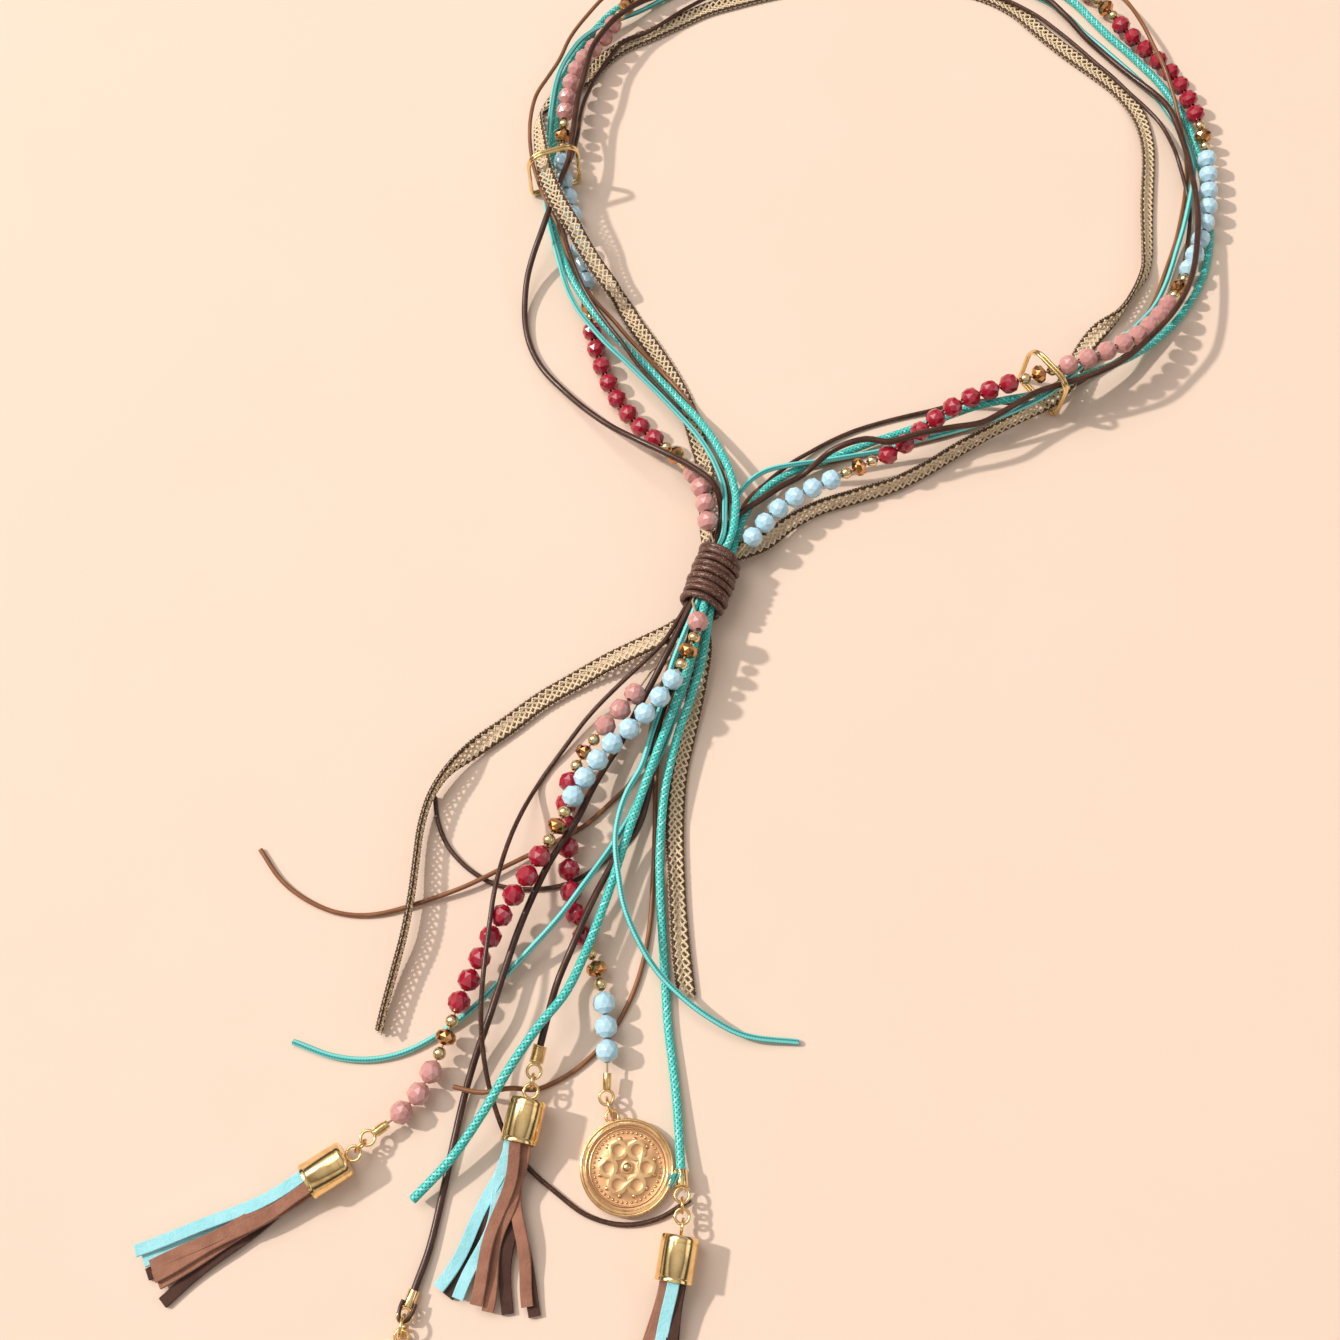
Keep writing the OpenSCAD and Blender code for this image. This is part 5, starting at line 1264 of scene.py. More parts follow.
    def settle(self, base: list[float], rows: list[Row]) -> list[float]:
        """Lets a run come down no steeper than its slope, and smooths it.

        Args:
            base: The least height of each row.
            rows: The run's rows.

        Returns:
            The rows' heights.
        """
        way = [0.0]
        for one, two in zip(rows, rows[1:]):
            way.append(way[-1] + math.hypot(two.x - one.x, two.y - one.y))
        free = [j for j, row in enumerate(rows) if not row.fixed]
        z = [row.z if row.fixed else max(base[j] - self.drop(abs(way[j] - way[k])) for j in free)
             for k, row in enumerate(rows)]
        for _ in range(self.smoothings):
            z = [v if rows[k].fixed or k in (0, len(z) - 1) else max(v, (z[k - 1] + z[k + 1]) / 2 - self.sag)
                 for k, v in enumerate(z)]
        return z


LAID = Laying().lay_all()


def route(key: str) -> list[tuple[float, ...]]:
    """Joins the runs of one route, with places to 0.1 mm and heights to 0.01 mm.

    Args:
        key: The route's name.

    Returns:
        A row for each section: its place in millimetres and its turn in degrees.
    """
    rows = [row for name, way in ROUTES[key] for row in LAID[name][1][::way]]
    kept = [row for k, row in enumerate(rows)
            if k == 0 or math.dist(row[:3], rows[k - 1][:3]) > TWIN_MM]
    return [(round(row.x, 1), round(row.y, 1), math.floor(row.z * 100 + 0.5) / 100, row.turn) for row in kept]


def run(key: str) -> list[np.ndarray]:
    """Gives a route's places in millimetres."""
    return [np.array(row[:3]) for row in route(key)]


# Pieces


def parts_of(node: str) -> list[np.ndarray]:
    """Finds the separate solids of a CAD node.

    Args:
        node: The node's name.

    Returns:
        Each solid's corner points in millimetres.
    """
    work = bmesh.new()
    work.from_mesh(bpy.data.objects[node].data)
    bmesh.ops.remove_doubles(work, verts=work.verts, dist=MERGE_M)
    seen: set = set()
    found = []
    for first in work.verts:
        if first in seen:
            continue
        seen.add(first)
        heap = [first]
        group = []
        while heap:
            vert = heap.pop()
            group.append(tuple(vert.co))
            for edge in vert.link_edges:
                other = edge.other_vert(vert)
                if other not in seen:
                    seen.add(other)
                    heap.append(other)
        found.append(np.array(group) / MM)
    work.free()
    return found


def middle(points: np.ndarray) -> np.ndarray:
    """Middle of a set of points' box."""
    return (points.min(axis=0) + points.max(axis=0)) / 2


def faceted_shape(radius: float, half: float, bore: float, sides: int, rings: int) -> Shape:
    """Cuts a bead with staggered facets and a drilled bore about +Z.

    Args:
        radius: Greatest radius.
        half: Half its length.
        bore: Radius of its hole.
        sides: Facets round it.
        rings: Rings of the sphere that it is cut from.

    Returns:
        The bead's points and faces, in millimetres.
    """
    bpy.ops.object.select_all(action="DESELECT")
    bpy.ops.mesh.primitive_uv_sphere_add(segments=sides, ring_count=rings, radius=radius)
    bead = bpy.context.active_object
    for vert in bead.data.vertices:
        vert.select = abs(vert.co.z) > radius * 0.999
    for group in (bead.data.edges, bead.data.polygons):
        group.foreach_set("select", [False] * len(group))
    bpy.ops.object.mode_set(mode="EDIT")
    bpy.ops.mesh.select_mode(type="VERT")
    bpy.ops.mesh.delete(type="VERT")
    bpy.ops.mesh.select_all(action="DESELECT")
    bpy.ops.mesh.select_non_manifold()
    bpy.ops.mesh.bridge_edge_loops()
    bpy.ops.object.mode_set(mode="OBJECT")
    row_step = math.pi / rings
    rim = math.cos(row_step) * radius
    for vert in bead.data.vertices:
        row = round(math.acos(max(-1.0, min(1.0, vert.co.z / radius))) / row_step)
        if abs(vert.co.z) > rim * 0.99:
            wide = bore / math.hypot(vert.co.x, vert.co.y)
            vert.co.x *= wide
            vert.co.y *= wide
        vert.co.z *= half / rim
        if row % 2:
            vert.co = Matrix.Rotation(math.pi / sides, 4, "Z") @ vert.co
    only(bead)
    bpy.ops.object.mode_set(mode="EDIT")
    bpy.ops.mesh.select_all(action="SELECT")
    bpy.ops.mesh.quads_convert_to_tris(quad_method="SHORTEST_DIAGONAL")
    bpy.ops.mesh.normals_make_consistent(inside=False)
    bpy.ops.object.mode_set(mode="OBJECT")
    return shape_of(bead)


def refined(node: str, slot: str, finish: bpy.types.Material, bevel_mm: float) -> bpy.types.Object:
    """Merges a copy of a CAD node, rounds its edges and puts it in the node's place.

    Args:
        node: The CAD node.
        slot: The piece's material slot.
        finish: Its material.
        bevel_mm: Width of the rounding.

    Returns:
        The piece.
    """
    thing = linked(node + "_finished", bpy.data.objects[node].data.copy())
    thing.data.materials.clear()
    thing.data.materials.append(finish)
    thing.data.polygons.foreach_set("material_index", [0] * len(thing.data.polygons))
    only(thing)
    bpy.ops.object.mode_set(mode="EDIT")
    bpy.ops.mesh.select_all(action="SELECT")
    bpy.ops.mesh.remove_doubles(threshold=MERGE_M)
    bpy.ops.mesh.tris_convert_to_quads(face_threshold=math.radians(1), shape_threshold=math.radians(60))
    bpy.ops.mesh.dissolve_limited(angle_limit=math.radians(0.5))
    bpy.ops.object.mode_set(mode="OBJECT")
    bevel = thing.modifiers.new("edges", "BEVEL")
    bevel.width = bevel_mm * MM
    bevel.segments = 2
    bevel.angle_limit = math.radians(50)
    bpy.ops.object.modifier_apply(modifier=bevel.name)
    bpy.ops.object.shade_smooth_by_angle(angle=math.radians(40))
    return dress(thing, slot, node)


@dataclass(frozen=True)
class Strand:
    """One cord: its CAD node, its runs' name, diameter, finish, slot, tail ends and the pieces on them."""

    node: str
    key: str
    diameter: float
    finish: bpy.types.Material
    slot: str
    ends: tuple[str, str] = ("bare", "bare")
    pieces: tuple[str, str] = ("", "")


@dataclass
class Cords:
    """The five round cords, each in three lengths that meet inside the knot."""

    strands: list[Strand]
    step_mm: float = 2.0
    sides: int = 12
    into_knot_mm: float = 5.0
    floor_lift_mm: float = 0.02

    def build(self) -> None:
        """Builds every length of every strand."""
        inward = np.array(Knot.down) * self.into_knot_mm
        for strand in self.strands:
            for way, end, piece in (("a", strand.ends[0], strand.pieces[0]), ("loop", "object", ""),
                                    ("b", strand.ends[1], strand.pieces[1])):
                rows = run(f"{strand.key}/{way}")
                if way == "loop":
                    rows = [rows[0] + inward, *rows, rows[-1] + inward]
                else:
                    rows = [rows[0] - inward, *rows]
                self.lay(strand, way, smooth_line(rows, self.step_mm))

    def lay(self, strand: Strand, way: str, line: np.ndarray) -> None:
        """Args:
            strand: The strand that it belongs to.
            way: Its run, "a", "loop" or "b".
            line: Its centre line in millimetres.
        """
        line = rested(line, strand.diameter / 2, self.floor_lift_mm)
        pot = MeshPot(f"{strand.node}_{way}")
        pot.tube(line, strand.diameter / 2, self.sides)
        thing = dress(pot.pour([strand.finish], 60), strand.slot, strand.node)
        line[0] * MM
        (line * MM).tolist()


@dataclass
class Braid:
    """Open gimp braid: chevron yarns in two columns between dark looped edges."""

    width: float = 6.0
    edge_inset: float = 0.95
    pitch: float = 4.5
    steps_per_pitch: int = 10
    yarn_r: float = 0.35
    yarn_overlap: float = 0.15
    yarn_tuck: float = 0.05
    yarn_lift: float = 0.1
    yarn_weave: float = 0.32
    yarn_lean: float = 0.7
    ply_r: float = 0.48
    ply_swing: float = 0.28
    picot_r: float = 0.14
    picot_out: float = 0.25
    picot_reach: float = 0.65
    picot_lift: float = 0.2
    picot_dip: float = 0.15
    edge_turns: float = 2.5

    def build(self) -> None:
        """Builds the braid over its three runs."""
        gold, dark = GOLD_YARN.make(), DARK_YARN.make()
        for way in ("a", "loop", "b"):
            rows = smooth_line(route(f"braid/{way}"), self.pitch / self.steps_per_pitch)
            pot = MeshPot(f"braid_{way}")
            for column in (-1, 1):
                self.column(pot, rows[:, :3], np.radians(rows[:, 3]), column)
            dress(pot.pour([gold, dark]), "braid", "braid_band")

    def column(self, pot: MeshPot, line: np.ndarray, turn: np.ndarray, column: int) -> None:
        """Adds the two yarns of one column, and the plies and picots of its edge.

        Args:
            pot: Where they go.
            line: The braid's centre line in millimetres.
            turn: Its turn round the line, in radians.
            column: -1 or 1 for the side of the line.
        """
        ahead, side, up = frames(line, turn)
        beat = np.arange(len(line)) / self.steps_per_pitch
        edge = self.width / 2 - self.edge_inset

        def strand(out: np.ndarray, lift: np.ndarray, radius: float, sides: int, slot: int,
                   lean: np.ndarray | float = 0.0) -> None:
            """Adds one strand beside the line.

            Args:
                out: How far out across the column.
                lift: How far above the line.
                radius: The strand's radius.
                sides: Sides of its section.
                slot: Number of its material.
                lean: How far ahead along the line.
            """
            course = line + side * (column * out)[:, None] + up * lift[:, None]
            course += ahead * np.reshape(lean, (-1, 1))
            pot.tube(rested(course, radius), radius, sides, slot)

        for phase in (0.0, 0.5):
            zig = np.abs(((beat + phase) % 1.0) * 2 - 1)
            reach = edge - self.yarn_tuck + self.yarn_overlap
            weave = self.yarn_weave * np.cos(math.tau * (beat + phase)) + self.yarn_lift
            strand(reach * zig - self.yarn_overlap, weave, self.yarn_r, 6, 0, self.yarn_lean * zig)
        for phase in (0.0, 0.5):
            wind = math.tau * (beat * self.edge_turns + phase)
            strand(edge + self.ply_swing * np.cos(wind), self.ply_swing * np.sin(wind), self.ply_r, 5, 1)
        loop = 0.5 - 0.5 * np.cos(math.tau * beat * self.edge_turns)
        strand(edge + self.picot_out + self.picot_reach * loop, self.picot_lift - self.picot_dip * loop,
               self.picot_r, 4, 0)


@dataclass
class BeadStrings:
    """The loop of beads, the two tails of beads and the thread through them."""

    bead_d: float = 6.0
    bead_swell: float = 0.06
    bead_flat: float = 0.12
    bead_bore_r: float = 0.9
    bead_cut: tuple[int, int] = (10, 6)
    rondelle: tuple[float, float, float] = (2.85, 2.0, 0.8)
    rondelle_cut: tuple[int, int] = (10, 6)
    ball: tuple[float, float, float] = (1.75, 1.55, 0.8)
    ball_cut: tuple[int, int] = (12, 8)
    roll_rad: float = 2.4
    thread_d: float = 0.6
    thread_sides: int = 8
    least_gap: float = 0.5
    loop: str = "pink 4, red 8, blue 8, pink 8, red 8, blue 8, pink 8, red 8, blue 8, pink 8, red 8, blue 6"
    tail_a: str = "pink 1, blue 8, red 8, pink 3"
    tail_b: str = "pink 3, red 8, blue 3"
    shapes: dict[Glass, Shape] = field(default_factory=dict)

    def order(self, groups: str) -> list[Glass]:
        """Lists a string's items, with a ball, a rondelle and a ball between groups.

        Args:
            groups: The groups of beads, each a colour and a count.

        Returns:
            The kind of each item.
        """
        items: list[Glass] = []
        for group in groups.split(", "):
            name, count = group.split()
            if items:
                items += [Glass.BALL, Glass.RONDELLE, Glass.BALL]
            items += [Glass[name.upper()]] * int(count)
        return items

    def spots(self, node: str, key: str, other: str = "") -> list[np.ndarray]:
        """Finds where a CAD node's items are along a run.

        Args:
            node: The CAD node.
            key: The run.
            other: A run whose own items, being nearer to it, are left out.

        Returns:
            The items' middles, in order along the run.
        """
        line = smooth_line(run(key), 1.0)
        away = smooth_line(run(other), 1.0) if other else None
        found = []
        for spot in (middle(p) for p in parts_of(node)):
            gaps = np.linalg.norm(line - spot, axis=1)
            if away is None or gaps.min() < np.linalg.norm(away - spot, axis=1).min():
                found.append((int(gaps.argmin()), spot))
        return [spot for _, spot in sorted(found, key=lambda pair: pair[0])]

    def string(self, pot: MeshPot, chain: Sequence[np.ndarray], items: Sequence[Glass]) -> None:
        """Stamps one string's items, each turned along the line between its neighbours.

        Args:
            pot: Where they go.
            chain: Their middles, with one more point before and after.
            items: Their kinds.
        """
        for k, kind in enumerate(items[:len(chain) - 2]):
            roll = Matrix.Rotation(k * self.roll_rad, 4, "Z")
            place = placed(chain[k + 1], unit(chain[k + 2] - chain[k])) @ roll
            pot.stamp(self.shapes[kind], place, kind.value, kind is Glass.BALL)

    def build(self) -> None:
        """Builds the strings and the thread."""
        r = self.bead_d / 2
        bead = faceted_shape(r + self.bead_swell, r - self.bead_flat, self.bead_bore_r, *self.bead_cut)
        self.shapes = {
            Glass.PINK: bead, Glass.RED: bead, Glass.BLUE: bead,
            Glass.RONDELLE: faceted_shape(*self.rondelle, *self.rondelle_cut),
            Glass.BALL: faceted_shape(*self.ball, *self.ball_cut)}
        finishes = [f.make() for f in (PINK_GLASS, RED_GLASS, BLUE_GLASS, BRONZE, PALE_GOLD)]
        left = self.spots("bead_string_left", "beads/loop")
        right = self.spots("bead_string_right", "beads/loop")
        loop = [run("beads/loop")[0], *left, *right, run("beads/loop")[-1]]
        items = self.order(self.loop)
        log.info("loop: %d items of %d", len(left) + len(right), len(items))
        for name, start, end in (("bead_string_left", 0, len(left)),
                                 ("bead_string_right", len(left), len(left) + len(right))):
            pot = MeshPot(name + "_glass")
            self.string(pot, loop[start:end + 2], items[start:end])
            dress(pot.pour(finishes, 0), "glass_bead", name)
        tail_a = self.spots("bead_tails", "beads/a", "beads/b")
        tail_b = self.spots("bead_tails", "beads/b", "beads/a")
        pot = MeshPot("bead_tails_glass")
        for spots, groups, key in ((tail_a, self.tail_a, "beads/a"), (tail_b, self.tail_b, "beads/b")):
            log.info("%s: %d items of %d", key, len(spots), len(self.order(groups)))
            self.string(pot, [run(key)[0], *spots, run(key)[-1]], self.order(groups))
        dress(pot.pour(finishes, 0), "glass_bead", "bead_tails")
        a, b = run("beads/a"), run("beads/b")
        self.thread([a[-1], *tail_a[::-1], a[0], *loop, *run("beads/b0"), *tail_b, b[-1]])

    def thread(self, stops: Sequence[np.ndarray]) -> None:
        """Runs the thread from crimp to crimp through every bead.

        Args:
            stops: The places that it passes, in order.
        """
        line = np.array(stops)
        keep = np.concatenate([[True], np.linalg.norm(np.diff(line, axis=0), axis=1) > self.least_gap])
        pot = MeshPot("bead_thread_run")
        pot.tube(line[keep], self.thread_d / 2, self.thread_sides)
        dress(pot.pour([CREAM_THREAD.make()]), "thread", "bead_thread")


@dataclass
class Knot:
    """Turns of leather cord wound round all the strands, over a filling that closes the gaps, coloured darker
    than the winding as painted shade between the turns.
    """

    radius: float = 5.95
    wire: float = 1.95
    turns: int = 9
    length: float = 18.6
    slant: float = 0.13
    tucked: float = 1.2
    uneven: float = 0.22
    ripple: float = 0.12
    waist: float = 0.9
    core_r: float = 5.3
    core_inset: float = 1.7
    core_taper: float = 0.8
    steps: int = 48
    down: Point = (-0.334, -0.943, 0.0)
    right: Point = (0.943, -0.334, 0.0)

    def build(self) -> None:
        """Builds the winding and the filling behind it."""
        centre = middle(np.vstack(parts_of("knot_wrap")))
        down, right = np.array(self.down), np.array(self.right)
        half = (self.length - self.wire) / 2
        t = np.arange(self.turns * self.steps + 1) / self.steps
        angle = math.tau * t
        way = np.clip(2 * half / (self.turns - 1) * (t - 0.5) - half, -half, half)
        way += self.slant * self.radius * np.cos(angle)
        way += self.uneven * np.sin(angle * 0.37 + 1.0) + self.ripple * np.sin(angle * 2 + 0.6)
        tuck = np.clip(np.minimum(t, self.turns - t) * 6, 0, 1)
        r = (self.radius - (1 - tuck) * self.tucked + self.uneven * np.sin(angle * 0.61)
             - self.waist * (way / self.length) ** 2)
        line = (centre + down * way[:, None] + right * (r * np.cos(angle))[:, None]
                + Z_UP * (r * np.sin(angle))[:, None])
        pot = MeshPot("knot_winding")
        pot.tube(rested(line, self.wire / 2), self.wire / 2, 12)
        reach = self.length / 2 - self.core_inset
        narrow = self.core_r * self.core_taper
        core = spun([(0, -reach), (narrow, -reach), (self.core_r, 1 - reach), (self.core_r, reach - 1),
                     (narrow, reach), (0, reach)], 32)
        pot.stamp(core, placed(centre, down), 1)
        dress(pot.pour([KNOT_LEATHER.make(), KNOT_GAP_SHADE.make()], 70), "dark_leather", "knot_wrap")


@dataclass
class StirrupRing:
    """A ring of doubled wire that stands round the strands."""

    node: str
    feet: tuple[tuple[float, float], tuple[float, float]]
    wire: float = 1.0
    wire_apart: float = 1.04
    inner_w: float = 15.6
    inner_h: float = 16.6
    low_r: float = 1.6
    high_r: float = 5.0
    low_z: float = 0.55
    arc_steps: int = 10
    sides: int = 14

    def build(self, finish: bpy.types.Material) -> None:
        """Bends the wire round its outline, twice.

        Args:
            finish: Its material.
        """
        one, two = (np.array([*foot, self.low_z]) for foot in self.feet)
        mid, across = (one + two) / 2, unit(two - one)
        a, top = (self.inner_w + self.wire) / 2, self.inner_h + self.wire
        low, high = self.low_r, self.high_r
        line = []
        for x, z, r, start in ((low - a, low, low, 180), (a - low, low, low, 270),
                               (a - high, top - high, high, 0), (high - a, top - high, high, 90)):
            for angle in np.radians(np.linspace(start, start + 90, self.arc_steps + 1)):
                line.append(mid + across * (x + r * math.cos(angle)) + Z_UP * (z + r * math.sin(angle)))
        heading = unit(np.cross(across, Z_UP))
        shape = self.sweep(np.array(line), heading)
        pot = MeshPot(self.node + "_wire")
        for shift in (-self.wire_apart / 2, self.wire_apart / 2):
            pot.stamp(shape, Matrix.Translation(Vector(heading * shift)))
        dress(pot.pour([finish]), "gold", self.node)

    def sweep(self, line: np.ndarray, normal: np.ndarray) -> Shape:
        """Sweeps the round wire along a closed outline in a plane.

        Args:
            line: The outline's points in millimetres.
            normal: The plane's normal.

        Returns:
            The wire's points and faces.
        """
        n, m = self.sides, len(line)
        out = np.cross(unit(np.roll(line, -1, axis=0) - np.roll(line, 1, axis=0)), normal)
        turn = np.arange(n) * math.tau / n
        points = [spot + self.wire / 2 * (np.outer(np.cos(turn), away) + np.outer(np.sin(turn), normal))
                  for spot, away in zip(line, out)]
        faces = [[k * n + j, k * n + (j + 1) % n, (k + 1) % m * n + (j + 1) % n, (k + 1) % m * n + j]
                 for k in range(m) for j in range(n)]
        return np.concatenate(points), faces


@dataclass
class Tassel:
    """A gold cap with an eye, over a head of suede strips.

    Each strip has a suede, its place in the cap across and up as shares of the room there, its end
    ahead and aside as shares of the strip's length, and its height off the floor in millimetres.
    """

    number: int
    top: Point
    heading_deg: float
    eye: Lie
    strips: list[tuple]
    wave: float = 0.35
    cap_r: float = 4.75
    cap_l: float = 11.0
    wall: float = 0.6
    eye_r: float = 1.8
    eye_wire: float = 0.8
    eye_reach: float = 2.05
    strip_w: float = 3.0
    strip_t: float = 1.2
    strip_l: float = 44.0
    strip_chamfer: float = 0.16
    strip_steps: int = 33
    straight_l: float = 0.6
    inside_at: tuple[float, float] = (3.5, 8.0)
    bend_share: float = 0.4
    twist: float = 0.22
    sway: float = 1.6
    hop: float = 0.6
    room_w: float = 2.45
    room_t: float = 3.35
    floor_gap: float = 0.15
    head_r: float = 3.95
    head_l: float = 6.0
    head_at: float = 1.3

    def build(self, gold: bpy.types.Material, suedes: dict[str, bpy.types.Material]) -> None:
        """Builds the cap and the fringe.

        Args:
            gold: Material of the cap.
            suedes: Materials of the strips, by name.
        """
        d = spoke(math.radians(self.heading_deg))
        self.build_cap(gold, np.array(self.top), d, np.cross(d, Z_UP))
        self.build_fringe(suedes, np.array(self.top), d, np.cross(d, Z_UP))

    def build_cap(self, gold: bpy.types.Material, top: np.ndarray, d: np.ndarray, side: np.ndarray) -> None:
        """Spins the cap with its stepped shoulder and rolled mouth, and adds the eye.

        Args:
            gold: Its material.
            top: Middle of its closed end.
            d: Its heading.
            side: The level direction across it.
        """
        r, inner, length = self.cap_r, self.cap_r - self.wall, self.cap_l
        shoulder = [(0, 0), (r - 0.7, 0), (r - 0.3, 0.12), (r - 0.06, 0.5), (r, 0.9)]
        groove = [(r, 1.5), (r - 0.12, 1.6), (r - 0.12, 1.75), (r, 1.85)]
        mouth = [(r, length - 1.2), (r - 0.1, length - 1.05), (r, length - 0.9), (r + 0.04, length - 0.45),
                 (r, length - 0.1), (r - 0.2, length), (inner + 0.1, length), (inner, length - 0.15)]
        inside = [(inner, 1.2), (inner - 0.3, 1.0), (0, 1.0)]
        pot = MeshPot(f"tassel_{self.number}_cap_gold")
        pot.stamp(spun(shoulder + groove + mouth + inside, 64), placed(top, d))
        normal = Z_UP if self.eye is Lie.LEVEL else side
        pot.stamp(hoop_shape(self.eye_r, self.eye_wire), placed(top - d * self.eye_reach, normal))
        dress(pot.pour([gold], 38), "gold", f"tassel_{self.number}_cap")

    def build_fringe(self, suedes: dict[str, bpy.types.Material], top: np.ndarray, d: np.ndarray,
                     side: np.ndarray) -> None:
        """Lays every strip from the head to the floor, and fills the head.

        Args:
            suedes: The materials by name.
            top: Middle of the cap's closed end.
            d: The cap's heading.
            side: The level direction across it.
        """
        names = list(suedes)
        pot = MeshPot(f"tassel_{self.number}_strips")
        w, h, c = self.strip_w / 2, self.strip_t / 2, self.strip_chamfer
        section = [(w, c - h), (w, h - c), (w - c, h), (c - w, h),
                   (-w, h - c), (-w, c - h), (c - w, -h), (w - c, -h)]
        for n, strip in enumerate(self.strips):
            line = self.strip_line(n, strip, top, d, side)
            share = np.linspace(0, 1, len(line))
            turn = self.twist * self.wave * np.sin(7 * share + n) * share ** 0.5
            turn[-6:] *= np.linspace(1, 0.15, 6)
            pot.tube(line, 1.0, section, names.index(strip[0]), turn)
        head = spun([(0, 0), (self.head_r - 0.35, 0), (self.head_r, 0.4), (self.head_r, self.head_l - 0.4),
                     (self.head_r - 0.35, self.head_l), (0, self.head_l)], 32)
        pot.stamp(head, placed(top + d * self.head_at, d), names.index("brown"))
        dress(pot.pour(list(suedes.values()), 42), "suede", f"tassel_{self.number}_fringe")

    def strip_line(self, n: int, strip: tuple, top: np.ndarray, d: np.ndarray,
                   side: np.ndarray) -> np.ndarray:
        """Bends one strip's centre line from the cap down to the floor, with soft waves.

        Args:
            n: The strip's number, which sets its waves.
            strip: Its row in the list of strips.
            top: Middle of the cap's closed end.
            d: The cap's heading.
            side: The level direction across it.

        Returns:
            Its points in millimetres.
        """
        _, across, up, ahead, aside, layer = strip
        start = top + side * (across * self.room_w) + Z_UP * (up * self.room_t)
        mouth = start + d * (self.cap_l + self.straight_l)
        end = top + d * (self.cap_l + ahead * self.strip_l) + side * (aside * self.strip_l)
        bend = mouth + d * float(np.linalg.norm((end - mouth)[:2])) * self.bend_share
        low = self.strip_t / 2 + self.floor_gap + layer
        t = np.linspace(0, 1, self.strip_steps + 1)[:, None]
        line = (1 - t) ** 2 * mouth + 2 * t * (1 - t) * bend + t ** 2 * end
        t = t[:, 0]
        swell = np.sin(math.pi * t)
        line[:, 2] = mouth[2] + (low - mouth[2]) * (1 - (1 - t) ** 3)
        ripple = np.sin(t * (5.5 + 1.3 * (n % 3)) + n * 1.7)
        line += side * (self.wave * self.sway * swell * ripple)[:, None]
        line[:, 2] += self.wave * (self.hop + self.hop * np.sin(t * 9 + n * 2.1)) * swell
        return np.vstack([*(start + d * way for way in self.inside_at), line])


@dataclass
class Pendants:
    """The round medallion and the pierced disc, with their raised rings and soldered grains."""

    medallion: Point = (-32.88, -166.53, 0.05)
    medallion_d: float = 24.0
    medallion_t: float = 1.4
    medallion_bevel: float = 0.14
    raised_rings: tuple = ((0.42, 0.8, 0.62), (1.55, 0.4, 0.62), (2.5, 0.5, 0.0))
    fine_grains: tuple = (3.5, 44, 0.34)
    petal_tips: tuple = (7.1, 12, (0.62, 0.62, 0.5))
    medallion_boss: Point = (1.2, 1.2, 0.8)
    disc: Point = (-90.54, -229.51, 0.05)
    disc_d: float = 46.0
    disc_t: float = 1.4
    disc_bevel: float = 0.16
    disc_boss: Point = (2.3, 2.3, 1.3)
    disc_rings: tuple = ((1.0, 128, 0.52), (0.5, 58, 0.48))
    wreath: int = 12
    wreath_share: float = 0.72
    wreath_ring: tuple = (0.24, 28, 0.42)
    grain_inset: float = 0.6
    wire_lift: float = 0.12
    grain_lift: float = 0.1
    boss_lift: float = 0.5

    def ring(self, pot: MeshPot, centre: np.ndarray, reach: float, count: int, size: float | Point,
             start: float = 0.0) -> None:
        """Sets a ring of grains round a point, flat on top of a plate.

        Args:
            pot: Where they go.
            centre: The ring's middle.
            reach: The ring's radius.
            count: How many grains.
            size: A grain's radius, or its three half sizes.
            start: Share of a step that the first is turned by.
        """
        for k in range(count):
            pot.stamp(self.grain, placed(centre + reach * spoke(math.tau * (k + start) / count), scale=size))

    def build(self, gold: bpy.types.Material, rose: bpy.types.Material) -> None:
        """Rounds both plates and adds the raised work.

        Args:
            gold: Material of the disc.
            rose: Material of the medallion.
        """
        refined("medallion", "rose_gold", rose, self.medallion_bevel)
        refined("pierced_disc", "gold", gold, self.disc_bevel)
        self.grain = grain_shape()
        self.build_medallion_work(rose)
        self.build_disc_work(gold)

    def build_medallion_work(self, rose: bpy.types.Material) -> None:
        """Lays the rings, the grains at the rim and round the petals, and the boss.

        Args:
            rose: Its material.
        """
        pot = MeshPot("medallion_raised_work")
        centre = np.array(self.medallion) + Z_UP * (self.medallion_t + self.wire_lift)
        for inset, wire, rise in self.raised_rings:
            pot.stamp(hoop_shape(self.medallion_d / 2 - inset, wire), placed(centre + Z_UP * rise))
        inset, count, size = self.fine_grains
        self.ring(pot, centre, self.medallion_d / 2 - inset, count, size)
        self.ring(pot, centre, *self.petal_tips, start=0.5)
        pot.stamp(self.grain, placed(centre + Z_UP * self.boss_lift, scale=self.medallion_boss))
        dress(pot.pour([rose], 60), "rose_gold")

    def build_disc_work(self, gold: bpy.types.Material) -> None:
        """Lays the grains of the disc's rim, inner ring and wreath, and the boss.

        Args:
            gold: Its material.
        """
        pot = MeshPot("disc_granulation")
        centre = np.array(self.disc) + Z_UP * (self.disc_t + self.grain_lift)
        r = self.disc_d / 2
        for share, count, size in self.disc_rings:
            self.ring(pot, centre, r * share - self.grain_inset, count, size)
        share, count, size = self.wreath_ring
        for k in range(self.wreath):
            spot = centre + r * self.wreath_share * spoke(math.tau * k / self.wreath)
            self.ring(pot, spot, r * share - self.grain_inset, count, size)
        pot.stamp(self.grain, placed(centre, scale=self.disc_boss))
        dress(pot.pour([gold], 60), "gold")


